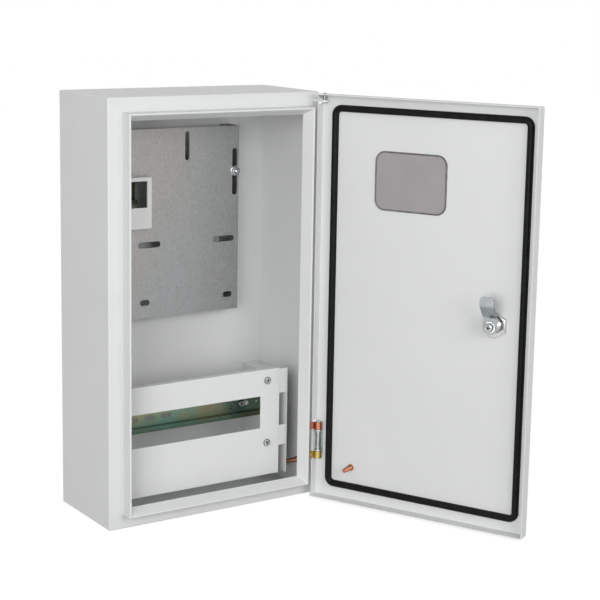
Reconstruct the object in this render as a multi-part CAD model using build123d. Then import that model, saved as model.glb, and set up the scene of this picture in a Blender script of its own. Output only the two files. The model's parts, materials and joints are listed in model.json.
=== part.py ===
from build123d import *
import os
from math import cos, radians, sin, sqrt, tan

# Metal electrical enclosure for one meter and one row of switchgear modules.
# All sizes are in millimetres. X runs to the right seen from the front, Y runs from the
# door to the wall, Z runs up. Heights are written from the foot of the box, and the pieces
# are moved at the end, so that the origin is the middle of the four wall holes.

# Body
HEIGHT = 550.0
WIDTH = 310.0
DEPTH = 137.5
SHEET = 1.2
EDGE_RADIUS = 2.0
WELD_RADIUS = 1.5

# Front frame: a flat strip, a collar that stands forward and a lip folded back inside it
STRIP = 19.0
COLLAR = 20.5
LIP_BACK = 15.0
LIP_ANGLE = 27.0
CREST_RADIUS = 1.5

# Wall fixing and cable knock-outs
WALL_HOLE_IN = 45.0
WALL_HOLE_LOW = 45.0
WALL_HOLE_HIGH = 480.0
WALL_HOLE_R = 4.0
KNOCKOUT_RADII = (20.0, 14.0, 20.0)
KNOCKOUT_PITCH = 75.0
KNOCKOUT_FROM_WALL = 70.0
KNOCKOUT_GROOVE = 1.6
KNOCKOUT_LEFT = 0.5

# Door
DOOR_PAST_SIDE = 0.5
DOOR_ABOVE_FOOT = 3.5
DOOR_BELOW_TOP = 1.5
DOOR_SHEET = 1.2
DOOR_RIM = 17.0
HINGE_RIM = 13.0
DOOR_OPEN = 115.4

# Gasket on the inside of the door, and the gap that it fills when the door is shut
GASKET_WIDTH = 10.0
GASKET_HEIGHT = 6.0
GASKET_CLEAR = 0.3
GASKET_RADIUS = 13.0
GASKET_CROWN = 2.2
GASKET_PAST_HINGE_SIDE = 2.8
GASKET_PAST_FREE_SIDE = 8.0
GASKET_PAST_FOOT = 0.5
GASKET_PAST_TOP = 4.0

# Hinges
PIN_RADIUS = 2.0
PIN_CLEAR = 0.1
PIN_HEAD_R = 3.4
PIN_HEAD = 1.2
LUG_RADIUS = 4.8
LUG_CLEAR = 0.5
KNUCKLE_HEIGHT = 9.6
LEAF = 2.0
LEAF_FOOT = 14.0
LOW_HINGE_Z = 80.8
BRACKET_HEIGHT = 30.0
BRACKET_SHEET = 2.0
HINGE_CLEAR = 0.4
TONGUE = 3.0
TONGUE_BELOW_TOP = 9.5
NOTCH_CLEAR = 1.0

# Window
WINDOW_WIDTH = 103.0
WINDOW_HEIGHT = 77.5
WINDOW_RADIUS = 14.0
WINDOW_X = 23.0
WINDOW_Z = 440.6
SEAL_WIDTH = 2.4
SEAL_PROUD = 1.3
SEAL_GRIP = 1.0
PANE_THICKNESS = 2.0

# Cam lock
LOCK_IN = 53.0
LOCK_Z = 271.5
LOCK_BARREL_R = 9.3
LOCK_FLATS = 16.6
LOCK_HEAD_R = 14.0
LOCK_HEAD = 4.0
LOCK_LENGTH = 17.8
LOCK_SEAL = 1.0
LOCK_FIT = 0.15
NUT_ACROSS = 29.0
NUT_THICKNESS = 6.0
DRIVER_R = 6.5
DRIVER_SQUARE = 7.0
DRIVER_CLEAR = 0.3
KEYHOLE_R = 5.0
KEYHOLE_DEPTH = 2.0
CAM_SHEET = 2.5
CAM_WIDTH = 19.0
CAM_LENGTH = 40.5
CAM_FLAT = 12.5
CAM_SLOPE_END = 28.5
CAM_BEHIND_STRIP = 0.7
CAM_TIP_RADIUS = 5.0
CAM_WASHER_R = 8.0
CAM_WASHER = 1.2
CAM_SCREW_HEAD_R = 5.6
CAM_SCREW_R = 2.5
SCREW_CLEAR = 0.15

# Meter plate, a channel that stands on the back wall
PLATE_FROM_SIDE = 9.8
PLATE_WIDTH = 242.0
PLATE_LOW = 245.0
PLATE_HIGH = 498.0
PLATE_FRONT = 30.0
PLATE_SHEET = 1.5
PLATE_FOOT = 14.0
PLATE_BEND = 1.5
METER_IN = 160.9
METER_SLOT = 6.5
TOP_SLOT_Z = 473.5
TOP_SLOT_LENGTH = 38.5
RISER_SLOT_IN = 7.0
RISER_SLOT_Z = 435.5
RISER_SLOT = 7.5
RISER_SLOT_LENGTH = 64.0
ACROSS_SLOT_OUT = 57.2
ACROSS_SLOT_Z = 344.0
ACROSS_SLOT = 8.0
ACROSS_SLOT_LENGTH = 33.5
FOOT_SLOT_OUT = 64.0
FOOT_SLOT_Z = 266.0
FOOT_SLOT = 8.0
FOOT_SLOT_LENGTH = 14.4
ACCESS_R = 8.0
PLATE_BOLT_Z = 436.5
PLATE_BOLT_R = 3.0
PLATE_WASHER_R = 7.0
PLATE_WASHER = 1.4
PLATE_NUT_ACROSS = 10.0
PLATE_NUT = 5.0
PLATE_BOLT_OUT = 4.0
PLATE_BOLT_HEAD = 4.0

# Cover of the input breaker and the short rail behind it
COVER_IN = 13.0
COVER_WIDTH = 90.0
COVER_LOW = 367.0
COVER_HIGH = 436.5
COVER_PROUD = 10.0
COVER_WALL = 2.0
COVER_RADIUS = 2.0
COVER_SKIRT = 1.5
COVER_CLEAR = 0.3
COVER_WINDOW_TOP = 5.6
COVER_WINDOW_SIDE = 7.6
COVER_WINDOW_HEIGHT = 35.0
SHORT_RAIL_IN = 6.0

# Cover panel
PANEL_FROM_SIDE = 4.8
PANEL_FROM_WEB = 13.7
PANEL_LOW = 29.5
PANEL_HIGH = 176.8
PANEL_FRONT = 118.0
PANEL_SHEET = 1.0
PANEL_FOLD = 10.0
MODULE_WIDTH = 17.5
CUT_FROM_RIGHT = 29.8
CUT_FROM_LEFT = 21.0
CUT_LOW = 96.2
CUT_HIGH = 140.8
PANEL_HOLE_R = 2.3
PANEL_SCREW_R = 2.0
PANEL_SCREW_HEAD_R = 5.0
PANEL_SCREW_HEAD = 2.4
PANEL_SCREW_LENGTH = 10.0
SCREW_HIGH = 161.6
SCREW_LOW = 74.9
SCREW_IN = 19.3

# Module rail
RAIL_WIDTH = 35.0
RAIL_BASE = 25.0
RAIL_HEIGHT = 7.5
RAIL_SHEET = 1.0
RAIL_FROM_WEB = 2.5
RAIL_SLOT_PITCH = 25.0
RAIL_SLOT_RUN = 5
RAIL_FIRST_SLOT = 14.2
RAIL_LAST_SLOT = 35.7
RAIL_SLOT_LENGTH = 15.0
RAIL_SLOT = 6.2
RAIL_HOLE_IN = 15.5
RAIL_HOLE_R = 1.6
MODULE_DEPTH = 44.5
RAIL_SCREW_R = 2.4
RAIL_SCREW_HEAD_R = 4.6
RAIL_SCREW_HEAD = 2.4
RAIL_SCREW_SHIFT = 4.3

# Side brackets that carry the rail and the cover panel
BRACKET_T = 1.2
RIGHT_WEB_IN = 28.3
WEB_LOW = 28.0
WEB_HIGH = 158.0
FOOT_OUT = 14.0
LUG_REACH = 44.0
LEFT_REACH = 32.0
RAIL_LUG_REACH = 56.0
LUG_LOW = (68.4, 96.3)
LUG_HIGH = (141.6, 175.4)
RAIL_LUG_HALF = 10.0
LUG_CORNER = 5.0

# Earth studs
STUD_R = 3.0
STUD_LENGTH = 19.0
STUD_BASE_R = 4.6
STUD_BASE = 0.8
BODY_STUD = (-101.0, 37.0)
DOOR_STUD_IN = 55.0
DOOR_STUD_Z = 49.0

# Values that follow from the sizes above
HALF = WIDTH / 2
CAVITY = HALF - SHEET
CREST_Y = -(DEPTH + COLLAR)
CREST_X = HALF - STRIP
CREST_LOW = STRIP
CREST_HIGH = HEIGHT - STRIP
WALL_HOLE_X = HALF - WALL_HOLE_IN
DOOR_IN = CREST_Y - GASKET_CLEAR - GASKET_HEIGHT
DOOR_OUT = DOOR_IN - DOOR_SHEET
DOOR_LOW = DOOR_ABOVE_FOOT
DOOR_HIGH = HEIGHT - DOOR_BELOW_TOP
DOOR_EDGE = HALF + DOOR_PAST_SIDE
LOCK_X = -DOOR_EDGE + LOCK_IN
PIN_X = DOOR_EDGE - DOOR_SHEET - LUG_CLEAR - LUG_RADIUS
PIN_Y = DOOR_IN + LUG_CLEAR + LUG_RADIUS
BRACKET_LOW = LOW_HINGE_Z - BRACKET_HEIGHT / 2
BRACKET_HIGH = LOW_HINGE_Z + BRACKET_HEIGHT / 2
LOW_KNUCKLE_Z = BRACKET_LOW - HINGE_CLEAR - KNUCKLE_HEIGHT
HIGH_KNUCKLE_Z = BRACKET_HIGH + HINGE_CLEAR
TONGUE_Z = HEIGHT - TONGUE_BELOW_TOP
PLATE_Y = -PLATE_FRONT
PLATE_LEFT = -CAVITY + PLATE_FROM_SIDE
PLATE_RIGHT = PLATE_LEFT + PLATE_WIDTH
METER_X = PLATE_LEFT + METER_IN
RISER_SLOT_X = PLATE_RIGHT - RISER_SLOT_IN
COVER_LEFT = PLATE_LEFT + COVER_IN
COVER_RIGHT = COVER_LEFT + COVER_WIDTH
RIGHT_WEB_X = CAVITY - RIGHT_WEB_IN
PANEL_LEFT = -CAVITY + PANEL_FROM_SIDE
PANEL_RIGHT = RIGHT_WEB_X - PANEL_FROM_WEB
PANEL_Y = -PANEL_FRONT
LUG_FRONT_Y = PANEL_Y + PANEL_SHEET
RAIL_Y = PANEL_Y + MODULE_DEPTH + RAIL_HEIGHT
RAIL_Z = (CUT_LOW + CUT_HIGH) / 2
RAIL_LEFT = PANEL_LEFT
RAIL_RIGHT = RIGHT_WEB_X - RAIL_FROM_WEB
CUT_RIGHT = PANEL_RIGHT - CUT_FROM_RIGHT
# As many whole modules as the panel has room for
MODULES = int((CUT_RIGHT - PANEL_LEFT - CUT_FROM_LEFT) / MODULE_WIDTH + 0.001)
CUT_LEFT = CUT_RIGHT - MODULES * MODULE_WIDTH
CAM_Y = DOOR_OUT + LOCK_LENGTH + DRIVER_CLEAR
CAM_TIP_Y = -DEPTH + SHEET + CAM_BEHIND_STRIP


def block(x, y, z):
    """A box from three pairs of lowest and highest coordinates."""
    size = [high - low for low, high in (x, y, z)]
    middle = [(low + high) / 2 for low, high in (x, y, z)]
    return Pos(*middle) * Box(*size)


def rod(start, direction, radius, length):
    """A cylinder from a start point along an axis."""
    plane = Plane(origin=start, z_dir=direction)
    return extrude(plane * Circle(radius), length)


def facing_door(x, y, z):
    """A plane that faces the wall, with its own X along X and its own Y along -Z."""
    return Plane(origin=(x, y, z), x_dir=(1, 0, 0), z_dir=(0, 1, 0))


def plate_shape(outline, x, y, z, depth):
    """A flat outline set upright at a point and thickened towards the wall."""
    return extrude(facing_door(x, y, z) * outline, depth)


def slot(x, z, length, width, upright, y, depth):
    """A slot with round ends, cut through a sheet that faces the door."""
    turn = 90 if upright else 0
    return plate_shape(Rot(0, 0, turn) * SlotOverall(length, width), x, y, z, depth)


def pan_screw(start, direction, head_r, head, shank_r, shank):
    """A pan-head screw with a cross recess; direction points out of the head."""
    along = Vector(*direction)
    body = rod(start, direction, head_r, head)
    body = chamfer(body.edges().sort_by(Axis(start, direction))[-1:], head * 0.4)
    recess = Plane(origin=Vector(*start) + along * (head * 0.45), z_dir=direction)
    arm = head_r * 1.05
    arm_width = head_r * 0.24
    cross = Rectangle(arm, arm_width) + Rectangle(arm_width, arm)
    body = body - extrude(recess * cross, head)
    return body + rod(start, tuple(-along), shank_r, shank)


def opened(shape):
    """A piece of the door, turned about the hinge axis from shut to its resting place."""
    pivot = Pos(PIN_X, PIN_Y, 0)
    return pivot * Rot(0, 0, DOOR_OPEN) * pivot.inverse() * shape


def knuckle_zones():
    """The heights at which something of the body reaches into the hinge side of the door."""
    low = (LOW_KNUCKLE_Z, LOW_KNUCKLE_Z + KNUCKLE_HEIGHT)
    high = (HIGH_KNUCKLE_Z, HIGH_KNUCKLE_Z + KNUCKLE_HEIGHT + PIN_HEAD)
    tongue = (TONGUE_Z - TONGUE - PIN_HEAD, TONGUE_Z)
    return low, high, tongue


def frame_section():
    """The section of the front frame at an even thickness: collar, round crest and lip.

    X runs into the mouth from the outer face of the collar, Y runs forward from the strip.
    """
    shoulder = COLLAR - CREST_RADIUS
    middle = Vector(CREST_RADIUS, shoulder)
    across = Vector(cos(radians(LIP_ANGLE)), sin(radians(LIP_ANGLE)))
    along = Vector(across.Y, -across.X)
    lip = (shoulder + CREST_RADIUS * across.Y - (COLLAR - LIP_BACK)) / across.X
    start = middle + across * CREST_RADIUS
    back = start - across * SHEET
    outline = Polyline((SHEET, shoulder), (SHEET, 0), (0, 0), (0, shoulder))
    outline = outline + CenterArc(middle, CREST_RADIUS, LIP_ANGLE, 180 - LIP_ANGLE)
    outline = outline + Polyline(start, start + along * lip, back + along * lip, back)
    outline = outline + CenterArc(middle, CREST_RADIUS - SHEET, LIP_ANGLE, 180 - LIP_ANGLE)
    return make_face(outline)


def frame_side(length):
    """One side of the front frame, mitred at both ends, with Z along its length."""
    half = length / 2
    inset = CREST_RADIUS * 2 + LIP_BACK * tan(radians(LIP_ANGLE)) + SHEET
    mitres = Polyline((0, -half), (0, half), (inset, half - inset), (inset, inset - half), close=True)
    wedge = extrude(Plane.XZ * make_face(mitres), COLLAR + 1, both=True)
    return extrude(frame_section(), half, both=True) & wedge


def front_frame():
    """The four sides of the front frame, welded at their mitres."""
    width = 2 * CREST_X
    height = CREST_HIGH - CREST_LOW
    middle = Pos(0, -DEPTH, (CREST_LOW + CREST_HIGH) / 2)
    upright = Pos(width / 2, 0, 0) * Rot(0, 0, 180) * frame_side(height)
    level = Pos(height / 2, 0, 0) * Rot(0, 0, 180) * frame_side(width)
    ring = upright + Rot(0, 90, 0) * level
    return middle * (ring + Rot(0, 180, 0) * ring)


def closed_box():
    """The outer shape of the box behind its front frame."""
    box = block((-HALF, HALF), (-DEPTH, 0), (0, HEIGHT))
    return fillet(box.edges(), EDGE_RADIUS)


def body_shell():
    """The folded walls of the box with the front frame, open at the back."""
    hollow = block((-CAVITY, CAVITY), (-DEPTH + SHEET, 1), (SHEET, HEIGHT - SHEET))
    inner_x = CREST_X - SHEET
    inner_z = (CREST_LOW + SHEET, CREST_HIGH - SHEET)
    mouth = block((-inner_x, inner_x), (-DEPTH, -DEPTH + SHEET), inner_z)
    shell = closed_box() - hollow - mouth + front_frame()

    # The bend between the strip and the collar
    root = shell.edges().filter_by_position(Axis.Y, -DEPTH - 0.01, -DEPTH + 0.01)
    root = root.filter_by(lambda edge: abs(edge.center().X) < CREST_X + 0.01)
    root = root.filter_by(lambda edge: CREST_LOW - 0.01 < edge.center().Z < CREST_HIGH + 0.01)
    shell = fillet(root, WELD_RADIUS)

    # Knock-outs in the floor are rings thinned from outside
    first = -KNOCKOUT_PITCH * (len(KNOCKOUT_RADII) - 1) / 2
    for index, radius in enumerate(KNOCKOUT_RADII):
        plane = Plane(origin=(first + index * KNOCKOUT_PITCH, -KNOCKOUT_FROM_WALL, 0))
        ring = Circle(radius) - Circle(radius - KNOCKOUT_GROOVE)
        shell = shell - extrude(plane * ring, SHEET - KNOCKOUT_LEFT)
    return shell


def back_panel():
    """The flat back, welded in between the walls, with the four wall holes."""
    back = closed_box() & block((-CAVITY, CAVITY), (-SHEET, 0), (SHEET, HEIGHT - SHEET))
    for x in (-WALL_HOLE_X, WALL_HOLE_X):
        for z in (WALL_HOLE_LOW, WALL_HOLE_HIGH):
            back = back - rod((x, -SHEET - 1, z), (0, 1, 0), WALL_HOLE_R, SHEET + 2)
    return back


def hinge_knuckle(low):
    """A barrel on a bent leaf, welded to the outside of the collar."""
    z = (low, low + KNUCKLE_HEIGHT)
    back = PIN_Y + LUG_RADIUS
    barrel = rod((PIN_X, PIN_Y, low), (0, 0, 1), LUG_RADIUS, KNUCKLE_HEIGHT)
    leaf = block((CREST_X, PIN_X), (back - LEAF, back), z)
    foot = block((CREST_X, CREST_X + LEAF), (back - LEAF, back - LEAF + LEAF_FOOT), z)
    bore = rod((PIN_X, PIN_Y, low - 1), (0, 0, 1), PIN_RADIUS + PIN_CLEAR, KNUCKLE_HEIGHT + 2)
    return barrel + leaf + foot - bore


def hinge_pin_low():
    """The headed pin through both barrels and the bracket of the door."""
    top = HIGH_KNUCKLE_Z + KNUCKLE_HEIGHT
    bottom = LOW_KNUCKLE_Z - 1
    shank = rod((PIN_X, PIN_Y, bottom), (0, 0, 1), PIN_RADIUS, top - bottom)
    return shank + rod((PIN_X, PIN_Y, top), (0, 0, 1), PIN_HEAD_R, PIN_HEAD)


def hinge_tongue():
    """The tongue that stands forward from the strip at the top of the hinge side."""
    z = (TONGUE_Z - TONGUE, TONGUE_Z)
    # The arm keeps to the side that the edge of the door never sweeps
    arm = block((PIN_X - LUG_RADIUS, PIN_X), (PIN_Y, -DEPTH), z)
    end = rod((PIN_X, PIN_Y, z[0]), (0, 0, 1), LUG_RADIUS, TONGUE)
    bore = rod((PIN_X, PIN_Y, z[0] - 1), (0, 0, 1), PIN_RADIUS + PIN_CLEAR, TONGUE + 2)
    return arm + end - bore


def hinge_pin_high():
    """The pin that goes up through the tongue and the top rim of the door."""
    bottom = TONGUE_Z - TONGUE
    shank = rod((PIN_X, PIN_Y, bottom), (0, 0, 1), PIN_RADIUS, DOOR_HIGH + 1 - bottom)
    return shank + rod((PIN_X, PIN_Y, bottom - PIN_HEAD), (0, 0, 1), PIN_HEAD_R, PIN_HEAD)


def door_panel():
    """The door: a shallow tray with a window, a lock hole and notches for the hinges."""
    t = DOOR_SHEET
    rim_y = DOOR_OUT + DOOR_RIM
    tray = block((-DOOR_EDGE, DOOR_EDGE), (DOOR_OUT, rim_y), (DOOR_LOW, DOOR_HIGH))
    tray = fillet(tray.edges() - tray.edges().group_by(Axis.Y)[-1], EDGE_RADIUS)
    inside_x = DOOR_EDGE - t
    tray = tray - block((-inside_x, inside_x), (DOOR_IN, rim_y + 1), (DOOR_LOW + t, DOOR_HIGH - t))
    side_x = (inside_x - 0.5, DOOR_EDGE + 1)
    corner = t + EDGE_RADIUS
    tray = tray - block(side_x, (DOOR_OUT + HINGE_RIM, rim_y + 1), (DOOR_LOW + corner, DOOR_HIGH - corner))
    for low, high in knuckle_zones():
        notch_z = (low - NOTCH_CLEAR, high + NOTCH_CLEAR)
        tray = tray - block(side_x, (DOOR_OUT + EDGE_RADIUS, rim_y + 1), notch_z)
    grip = 2 * SEAL_GRIP
    hole = RectangleRounded(WINDOW_WIDTH - grip, WINDOW_HEIGHT - grip, WINDOW_RADIUS - SEAL_GRIP)
    tray = tray - plate_shape(hole, WINDOW_X, DOOR_OUT - 1, WINDOW_Z, t + 2)
    tray = tray - plate_shape(barrel_outline(LOCK_FIT), LOCK_X, DOOR_OUT - 1, LOCK_Z, t + 2)
    bore_z = DOOR_HIGH - t - 1
    return tray - rod((PIN_X, PIN_Y, bore_z), (0, 0, 1), PIN_RADIUS + PIN_CLEAR, t + 2)


def door_gasket():
    """The foamed seal, a crowned band that meets the crest of the frame."""
    left = -CREST_X - GASKET_PAST_FREE_SIDE
    right = CREST_X + GASKET_PAST_HINGE_SIDE
    low = CREST_LOW - GASKET_PAST_FOOT
    high = CREST_HIGH + GASKET_PAST_TOP
    width = right - left
    height = high - low
    w = GASKET_WIDTH
    band = RectangleRounded(width, height, GASKET_RADIUS)
    band = band - RectangleRounded(width - 2 * w, height - 2 * w, GASKET_RADIUS - w)
    seal = plate_shape(band, (left + right) / 2, DOOR_IN, (low + high) / 2, GASKET_HEIGHT)
    return chamfer(seal.faces().sort_by(Axis.Y)[-1].edges(), GASKET_CROWN)


def window_seal():
    """A rubber profile that grips the sheet outside it and the pane inside it."""
    radius = WINDOW_RADIUS
    y = DOOR_OUT - SEAL_PROUD
    depth = DOOR_SHEET + 2 * SEAL_PROUD
    ring = RectangleRounded(WINDOW_WIDTH, WINDOW_HEIGHT, radius)
    gap = 2 * SEAL_WIDTH
    ring = ring - RectangleRounded(WINDOW_WIDTH - gap, WINDOW_HEIGHT - gap, radius - SEAL_WIDTH)
    seal = plate_shape(ring, WINDOW_X, y, WINDOW_Z, depth)
    groove = Rectangle(WINDOW_WIDTH + 2, WINDOW_HEIGHT + 2)
    grip = 2 * SEAL_GRIP
    groove = groove - RectangleRounded(WINDOW_WIDTH - grip, WINDOW_HEIGHT - grip, radius - SEAL_GRIP)
    seal = seal - plate_shape(groove, WINDOW_X, DOOR_OUT, WINDOW_Z, DOOR_SHEET)
    return seal - plate_shape(pane_outline(), WINDOW_X, pane_y(), WINDOW_Z, PANE_THICKNESS)


def pane_outline():
    """The outline of the pane, which reaches into the seal by the grip."""
    edge = SEAL_WIDTH - SEAL_GRIP
    return RectangleRounded(WINDOW_WIDTH - 2 * edge, WINDOW_HEIGHT - 2 * edge, WINDOW_RADIUS - edge)


def pane_y():
    """The outer face of the pane, centred in the thickness of the seal."""
    return DOOR_OUT + (DOOR_SHEET - PANE_THICKNESS) / 2


def window_pane():
    """The clear pane."""
    return plate_shape(pane_outline(), WINDOW_X, pane_y(), WINDOW_Z, PANE_THICKNESS)


def hinge_bracket():
    """The folded bracket on the door, with a lug at each end for the pin."""
    x = (PIN_X - LUG_RADIUS, PIN_X + LUG_RADIUS)
    bracket = block(x, (DOOR_IN, DOOR_IN + BRACKET_SHEET), (BRACKET_LOW, BRACKET_HIGH))
    for low in (BRACKET_LOW, BRACKET_HIGH - BRACKET_SHEET):
        bracket = bracket + block(x, (DOOR_IN, PIN_Y), (low, low + BRACKET_SHEET))
        bracket = bracket + rod((PIN_X, PIN_Y, low), (0, 0, 1), LUG_RADIUS, BRACKET_SHEET)
    bore_r = PIN_RADIUS + PIN_CLEAR
    return bracket - rod((PIN_X, PIN_Y, BRACKET_LOW - 1), (0, 0, 1), bore_r, BRACKET_HEIGHT + 2)


def barrel_outline(extra=0.0):
    """A circle with two flats, for the lock barrel and the hole that it passes."""
    return Circle(LOCK_BARREL_R + extra) & Rectangle(3 * LOCK_BARREL_R, LOCK_FLATS + 2 * extra)


def lock_housing():
    """The barrel of the lock with its round head outside the door."""
    head_y = DOOR_OUT - LOCK_SEAL - LOCK_HEAD
    head = rod((LOCK_X, head_y, LOCK_Z), (0, 1, 0), LOCK_HEAD_R, LOCK_HEAD)
    head = chamfer(head.edges().sort_by(Axis.Y)[:1], LOCK_HEAD * 0.35)
    barrel = plate_shape(barrel_outline(), LOCK_X, head_y + LOCK_HEAD, LOCK_Z, LOCK_LENGTH + LOCK_SEAL)
    keyhole = rod((LOCK_X, head_y - 1, LOCK_Z), (0, 1, 0), KEYHOLE_R, KEYHOLE_DEPTH + 1)
    length = LOCK_HEAD + LOCK_SEAL + LOCK_LENGTH - KEYHOLE_DEPTH
    bore = rod((LOCK_X, head_y + KEYHOLE_DEPTH, LOCK_Z), (0, 1, 0), DRIVER_R + DRIVER_CLEAR, length + 1)
    return head + barrel - keyhole - bore


def lock_seal():
    """The rubber ring under the lock's head."""
    ring = Circle(LOCK_HEAD_R - 0.6) - Circle(LOCK_BARREL_R + LOCK_FIT)
    return plate_shape(ring, LOCK_X, DOOR_OUT - LOCK_SEAL, LOCK_Z, LOCK_SEAL)


def lock_nut():
    """The thin hexagonal nut that clamps the lock to the door."""
    outline = RegularPolygon(NUT_ACROSS / 2, 6, major_radius=False) - Circle(LOCK_BARREL_R + LOCK_FIT)
    nut = plate_shape(outline, LOCK_X, DOOR_IN, LOCK_Z, NUT_THICKNESS)
    rim = rod((LOCK_X, DOOR_IN, LOCK_Z), (0, 1, 0), NUT_ACROSS / 2 / cos(radians(30)), NUT_THICKNESS)
    rim = chamfer(rim.edges().sort_by(Axis.Y)[-1:], NUT_THICKNESS * 0.2)
    return nut & rim


def lock_driver():
    """The turning core of the lock, with a key slot outside and a square end inside."""
    start = DOOR_OUT - LOCK_SEAL - LOCK_HEAD + KEYHOLE_DEPTH + DRIVER_CLEAR
    end = DOOR_OUT + LOCK_LENGTH
    core = rod((LOCK_X, start, LOCK_Z), (0, 1, 0), DRIVER_R, end - start)
    square = Rectangle(DRIVER_SQUARE, DRIVER_SQUARE)
    core = core + plate_shape(square, LOCK_X, end, LOCK_Z, DRIVER_CLEAR + CAM_SHEET - 0.2)
    key = Circle(KEYHOLE_R * 0.6) + Rectangle(KEYHOLE_R * 1.7, KEYHOLE_R * 0.4) - Circle(KEYHOLE_R * 0.3)
    core = core - plate_shape(key, LOCK_X, start, LOCK_Z, 6)
    depth = cam_screw_shank()
    bore = rod((LOCK_X, CAM_Y + CAM_SHEET + 1, LOCK_Z), (0, -1, 0), CAM_SCREW_R + SCREW_CLEAR, depth + 1)
    return core - bore


def cam_screw_shank():
    """How far the cam's screw reaches in from the washer's seat."""
    return CAM_SHEET + 8.0


def lock_cam():
    """The flat cam, bent inwards so that its tip passes behind the strip of the frame."""
    slope = CAM_SLOPE_END - CAM_FLAT
    rise = CAM_TIP_Y - CAM_Y
    # The back line of a bent sheet is set back at each bend by half the bend's angle
    half_turn = (sqrt(rise ** 2 + slope ** 2) - slope) / rise
    shift = CAM_SHEET * half_turn
    root = -CAM_WIDTH / 2
    t = CAM_SHEET
    side = Polyline(
        (CAM_Y, root), (CAM_Y, CAM_FLAT), (CAM_TIP_Y, CAM_SLOPE_END), (CAM_TIP_Y, CAM_LENGTH),
        (CAM_TIP_Y + t, CAM_LENGTH), (CAM_TIP_Y + t, CAM_SLOPE_END - shift),
        (CAM_Y + t, CAM_FLAT - shift), (CAM_Y + t, root), close=True)
    plane = Plane(origin=(LOCK_X - CAM_WIDTH / 2, 0, LOCK_Z), x_dir=(0, 1, 0), z_dir=(1, 0, 0))
    bent = extrude(plane * make_face(side), CAM_WIDTH)
    depth = CAM_TIP_Y + t - CAM_Y + 2
    blade = block((-CAM_WIDTH / 2, CAM_WIDTH / 2), (0, depth), (0, CAM_LENGTH))
    blade = fillet(blade.edges().filter_by(Axis.Y).group_by(Axis.Z)[-1], CAM_TIP_RADIUS)
    blade = blade + rod((0, 0, 0), (0, 1, 0), CAM_WIDTH / 2, depth)
    cam = bent & (Pos(LOCK_X, CAM_Y - 1, LOCK_Z) * blade)
    side_length = DRIVER_SQUARE + 2 * DRIVER_CLEAR
    return cam - plate_shape(Rectangle(side_length, side_length), LOCK_X, CAM_Y - 1, LOCK_Z, t + 2)


def cam_washer():
    """The washer under the cam's screw."""
    ring = Circle(CAM_WASHER_R) - Circle(CAM_SCREW_R + SCREW_CLEAR)
    return plate_shape(ring, LOCK_X, CAM_Y + CAM_SHEET, LOCK_Z, CAM_WASHER)


def cam_screw():
    """The pan-head screw that holds the cam on its square."""
    seat = (LOCK_X, CAM_Y + CAM_SHEET + CAM_WASHER, LOCK_Z)
    shank = cam_screw_shank() + CAM_WASHER - 0.5
    return pan_screw(seat, (0, 1, 0), CAM_SCREW_HEAD_R, 3.4, CAM_SCREW_R, shank)


def meter_plate():
    """The slotted plate for the meter: a channel with its feet turned in on the wall."""
    t = PLATE_SHEET
    wall = -SHEET
    z = (PLATE_LOW, PLATE_HIGH)
    plate = block((PLATE_LEFT, PLATE_RIGHT), (PLATE_Y, wall), z)
    corners = plate.edges().filter_by(Axis.Z).group_by(Axis.Y)[0]
    plate = fillet(corners, PLATE_BEND)
    plate = plate - block((PLATE_LEFT + t, PLATE_RIGHT - t), (PLATE_Y + t, wall - t), z)
    left = PLATE_LEFT + PLATE_FOOT
    right = PLATE_RIGHT - PLATE_FOOT
    plate = plate - block((left, right), (wall - t, wall), z)

    y = PLATE_Y - 1
    cut = t + 2
    plate = plate - slot(METER_X, TOP_SLOT_Z, TOP_SLOT_LENGTH, METER_SLOT, True, y, cut)
    plate = plate - slot(RISER_SLOT_X, RISER_SLOT_Z, RISER_SLOT_LENGTH, RISER_SLOT, True, y, cut)
    for side in (-1, 1):
        across_x = METER_X + side * ACROSS_SLOT_OUT
        plate = plate - slot(across_x, ACROSS_SLOT_Z, ACROSS_SLOT_LENGTH, ACROSS_SLOT, False, y, cut)
        foot_x = METER_X + side * FOOT_SLOT_OUT
        plate = plate - slot(foot_x, FOOT_SLOT_Z, FOOT_SLOT_LENGTH, FOOT_SLOT, False, y, cut)
    opening = block(
        (COVER_LEFT + COVER_SKIRT, COVER_RIGHT - COVER_SKIRT), (y, y + cut),
        (COVER_LOW + COVER_SKIRT, COVER_HIGH - COVER_SKIRT))
    plate = plate - opening
    return plate - rod((-WALL_HOLE_X, y, WALL_HOLE_HIGH), (0, 1, 0), ACCESS_R, cut)


def small_hexagon():
    """The outline of the plate's bolt head and nut, with its flats upright."""
    return Rot(0, 0, 30) * RegularPolygon(PLATE_NUT_ACROSS / 2, 6, major_radius=False)


def plate_bolt():
    """The bolt that stands out of the right slot, with its head behind the plate."""
    back = PLATE_Y + PLATE_SHEET
    length = PLATE_SHEET + PLATE_WASHER + PLATE_NUT + PLATE_BOLT_OUT
    shank = rod((RISER_SLOT_X, back, PLATE_BOLT_Z), (0, -1, 0), PLATE_BOLT_R, length)
    shank = chamfer(shank.edges().sort_by(Axis.Y)[:1], 0.6)
    return shank + plate_shape(small_hexagon(), RISER_SLOT_X, back, PLATE_BOLT_Z, PLATE_BOLT_HEAD)


def plate_washer():
    """The washer on the front of the plate."""
    ring = Circle(PLATE_WASHER_R) - Circle(PLATE_BOLT_R + SCREW_CLEAR)
    return plate_shape(ring, RISER_SLOT_X, PLATE_Y - PLATE_WASHER, PLATE_BOLT_Z, PLATE_WASHER)


def plate_nut():
    """The hexagonal nut on the washer."""
    outline = small_hexagon() - Circle(PLATE_BOLT_R + SCREW_CLEAR)
    return plate_shape(outline, RISER_SLOT_X, PLATE_Y - PLATE_WASHER - PLATE_NUT, PLATE_BOLT_Z, PLATE_NUT)


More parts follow.
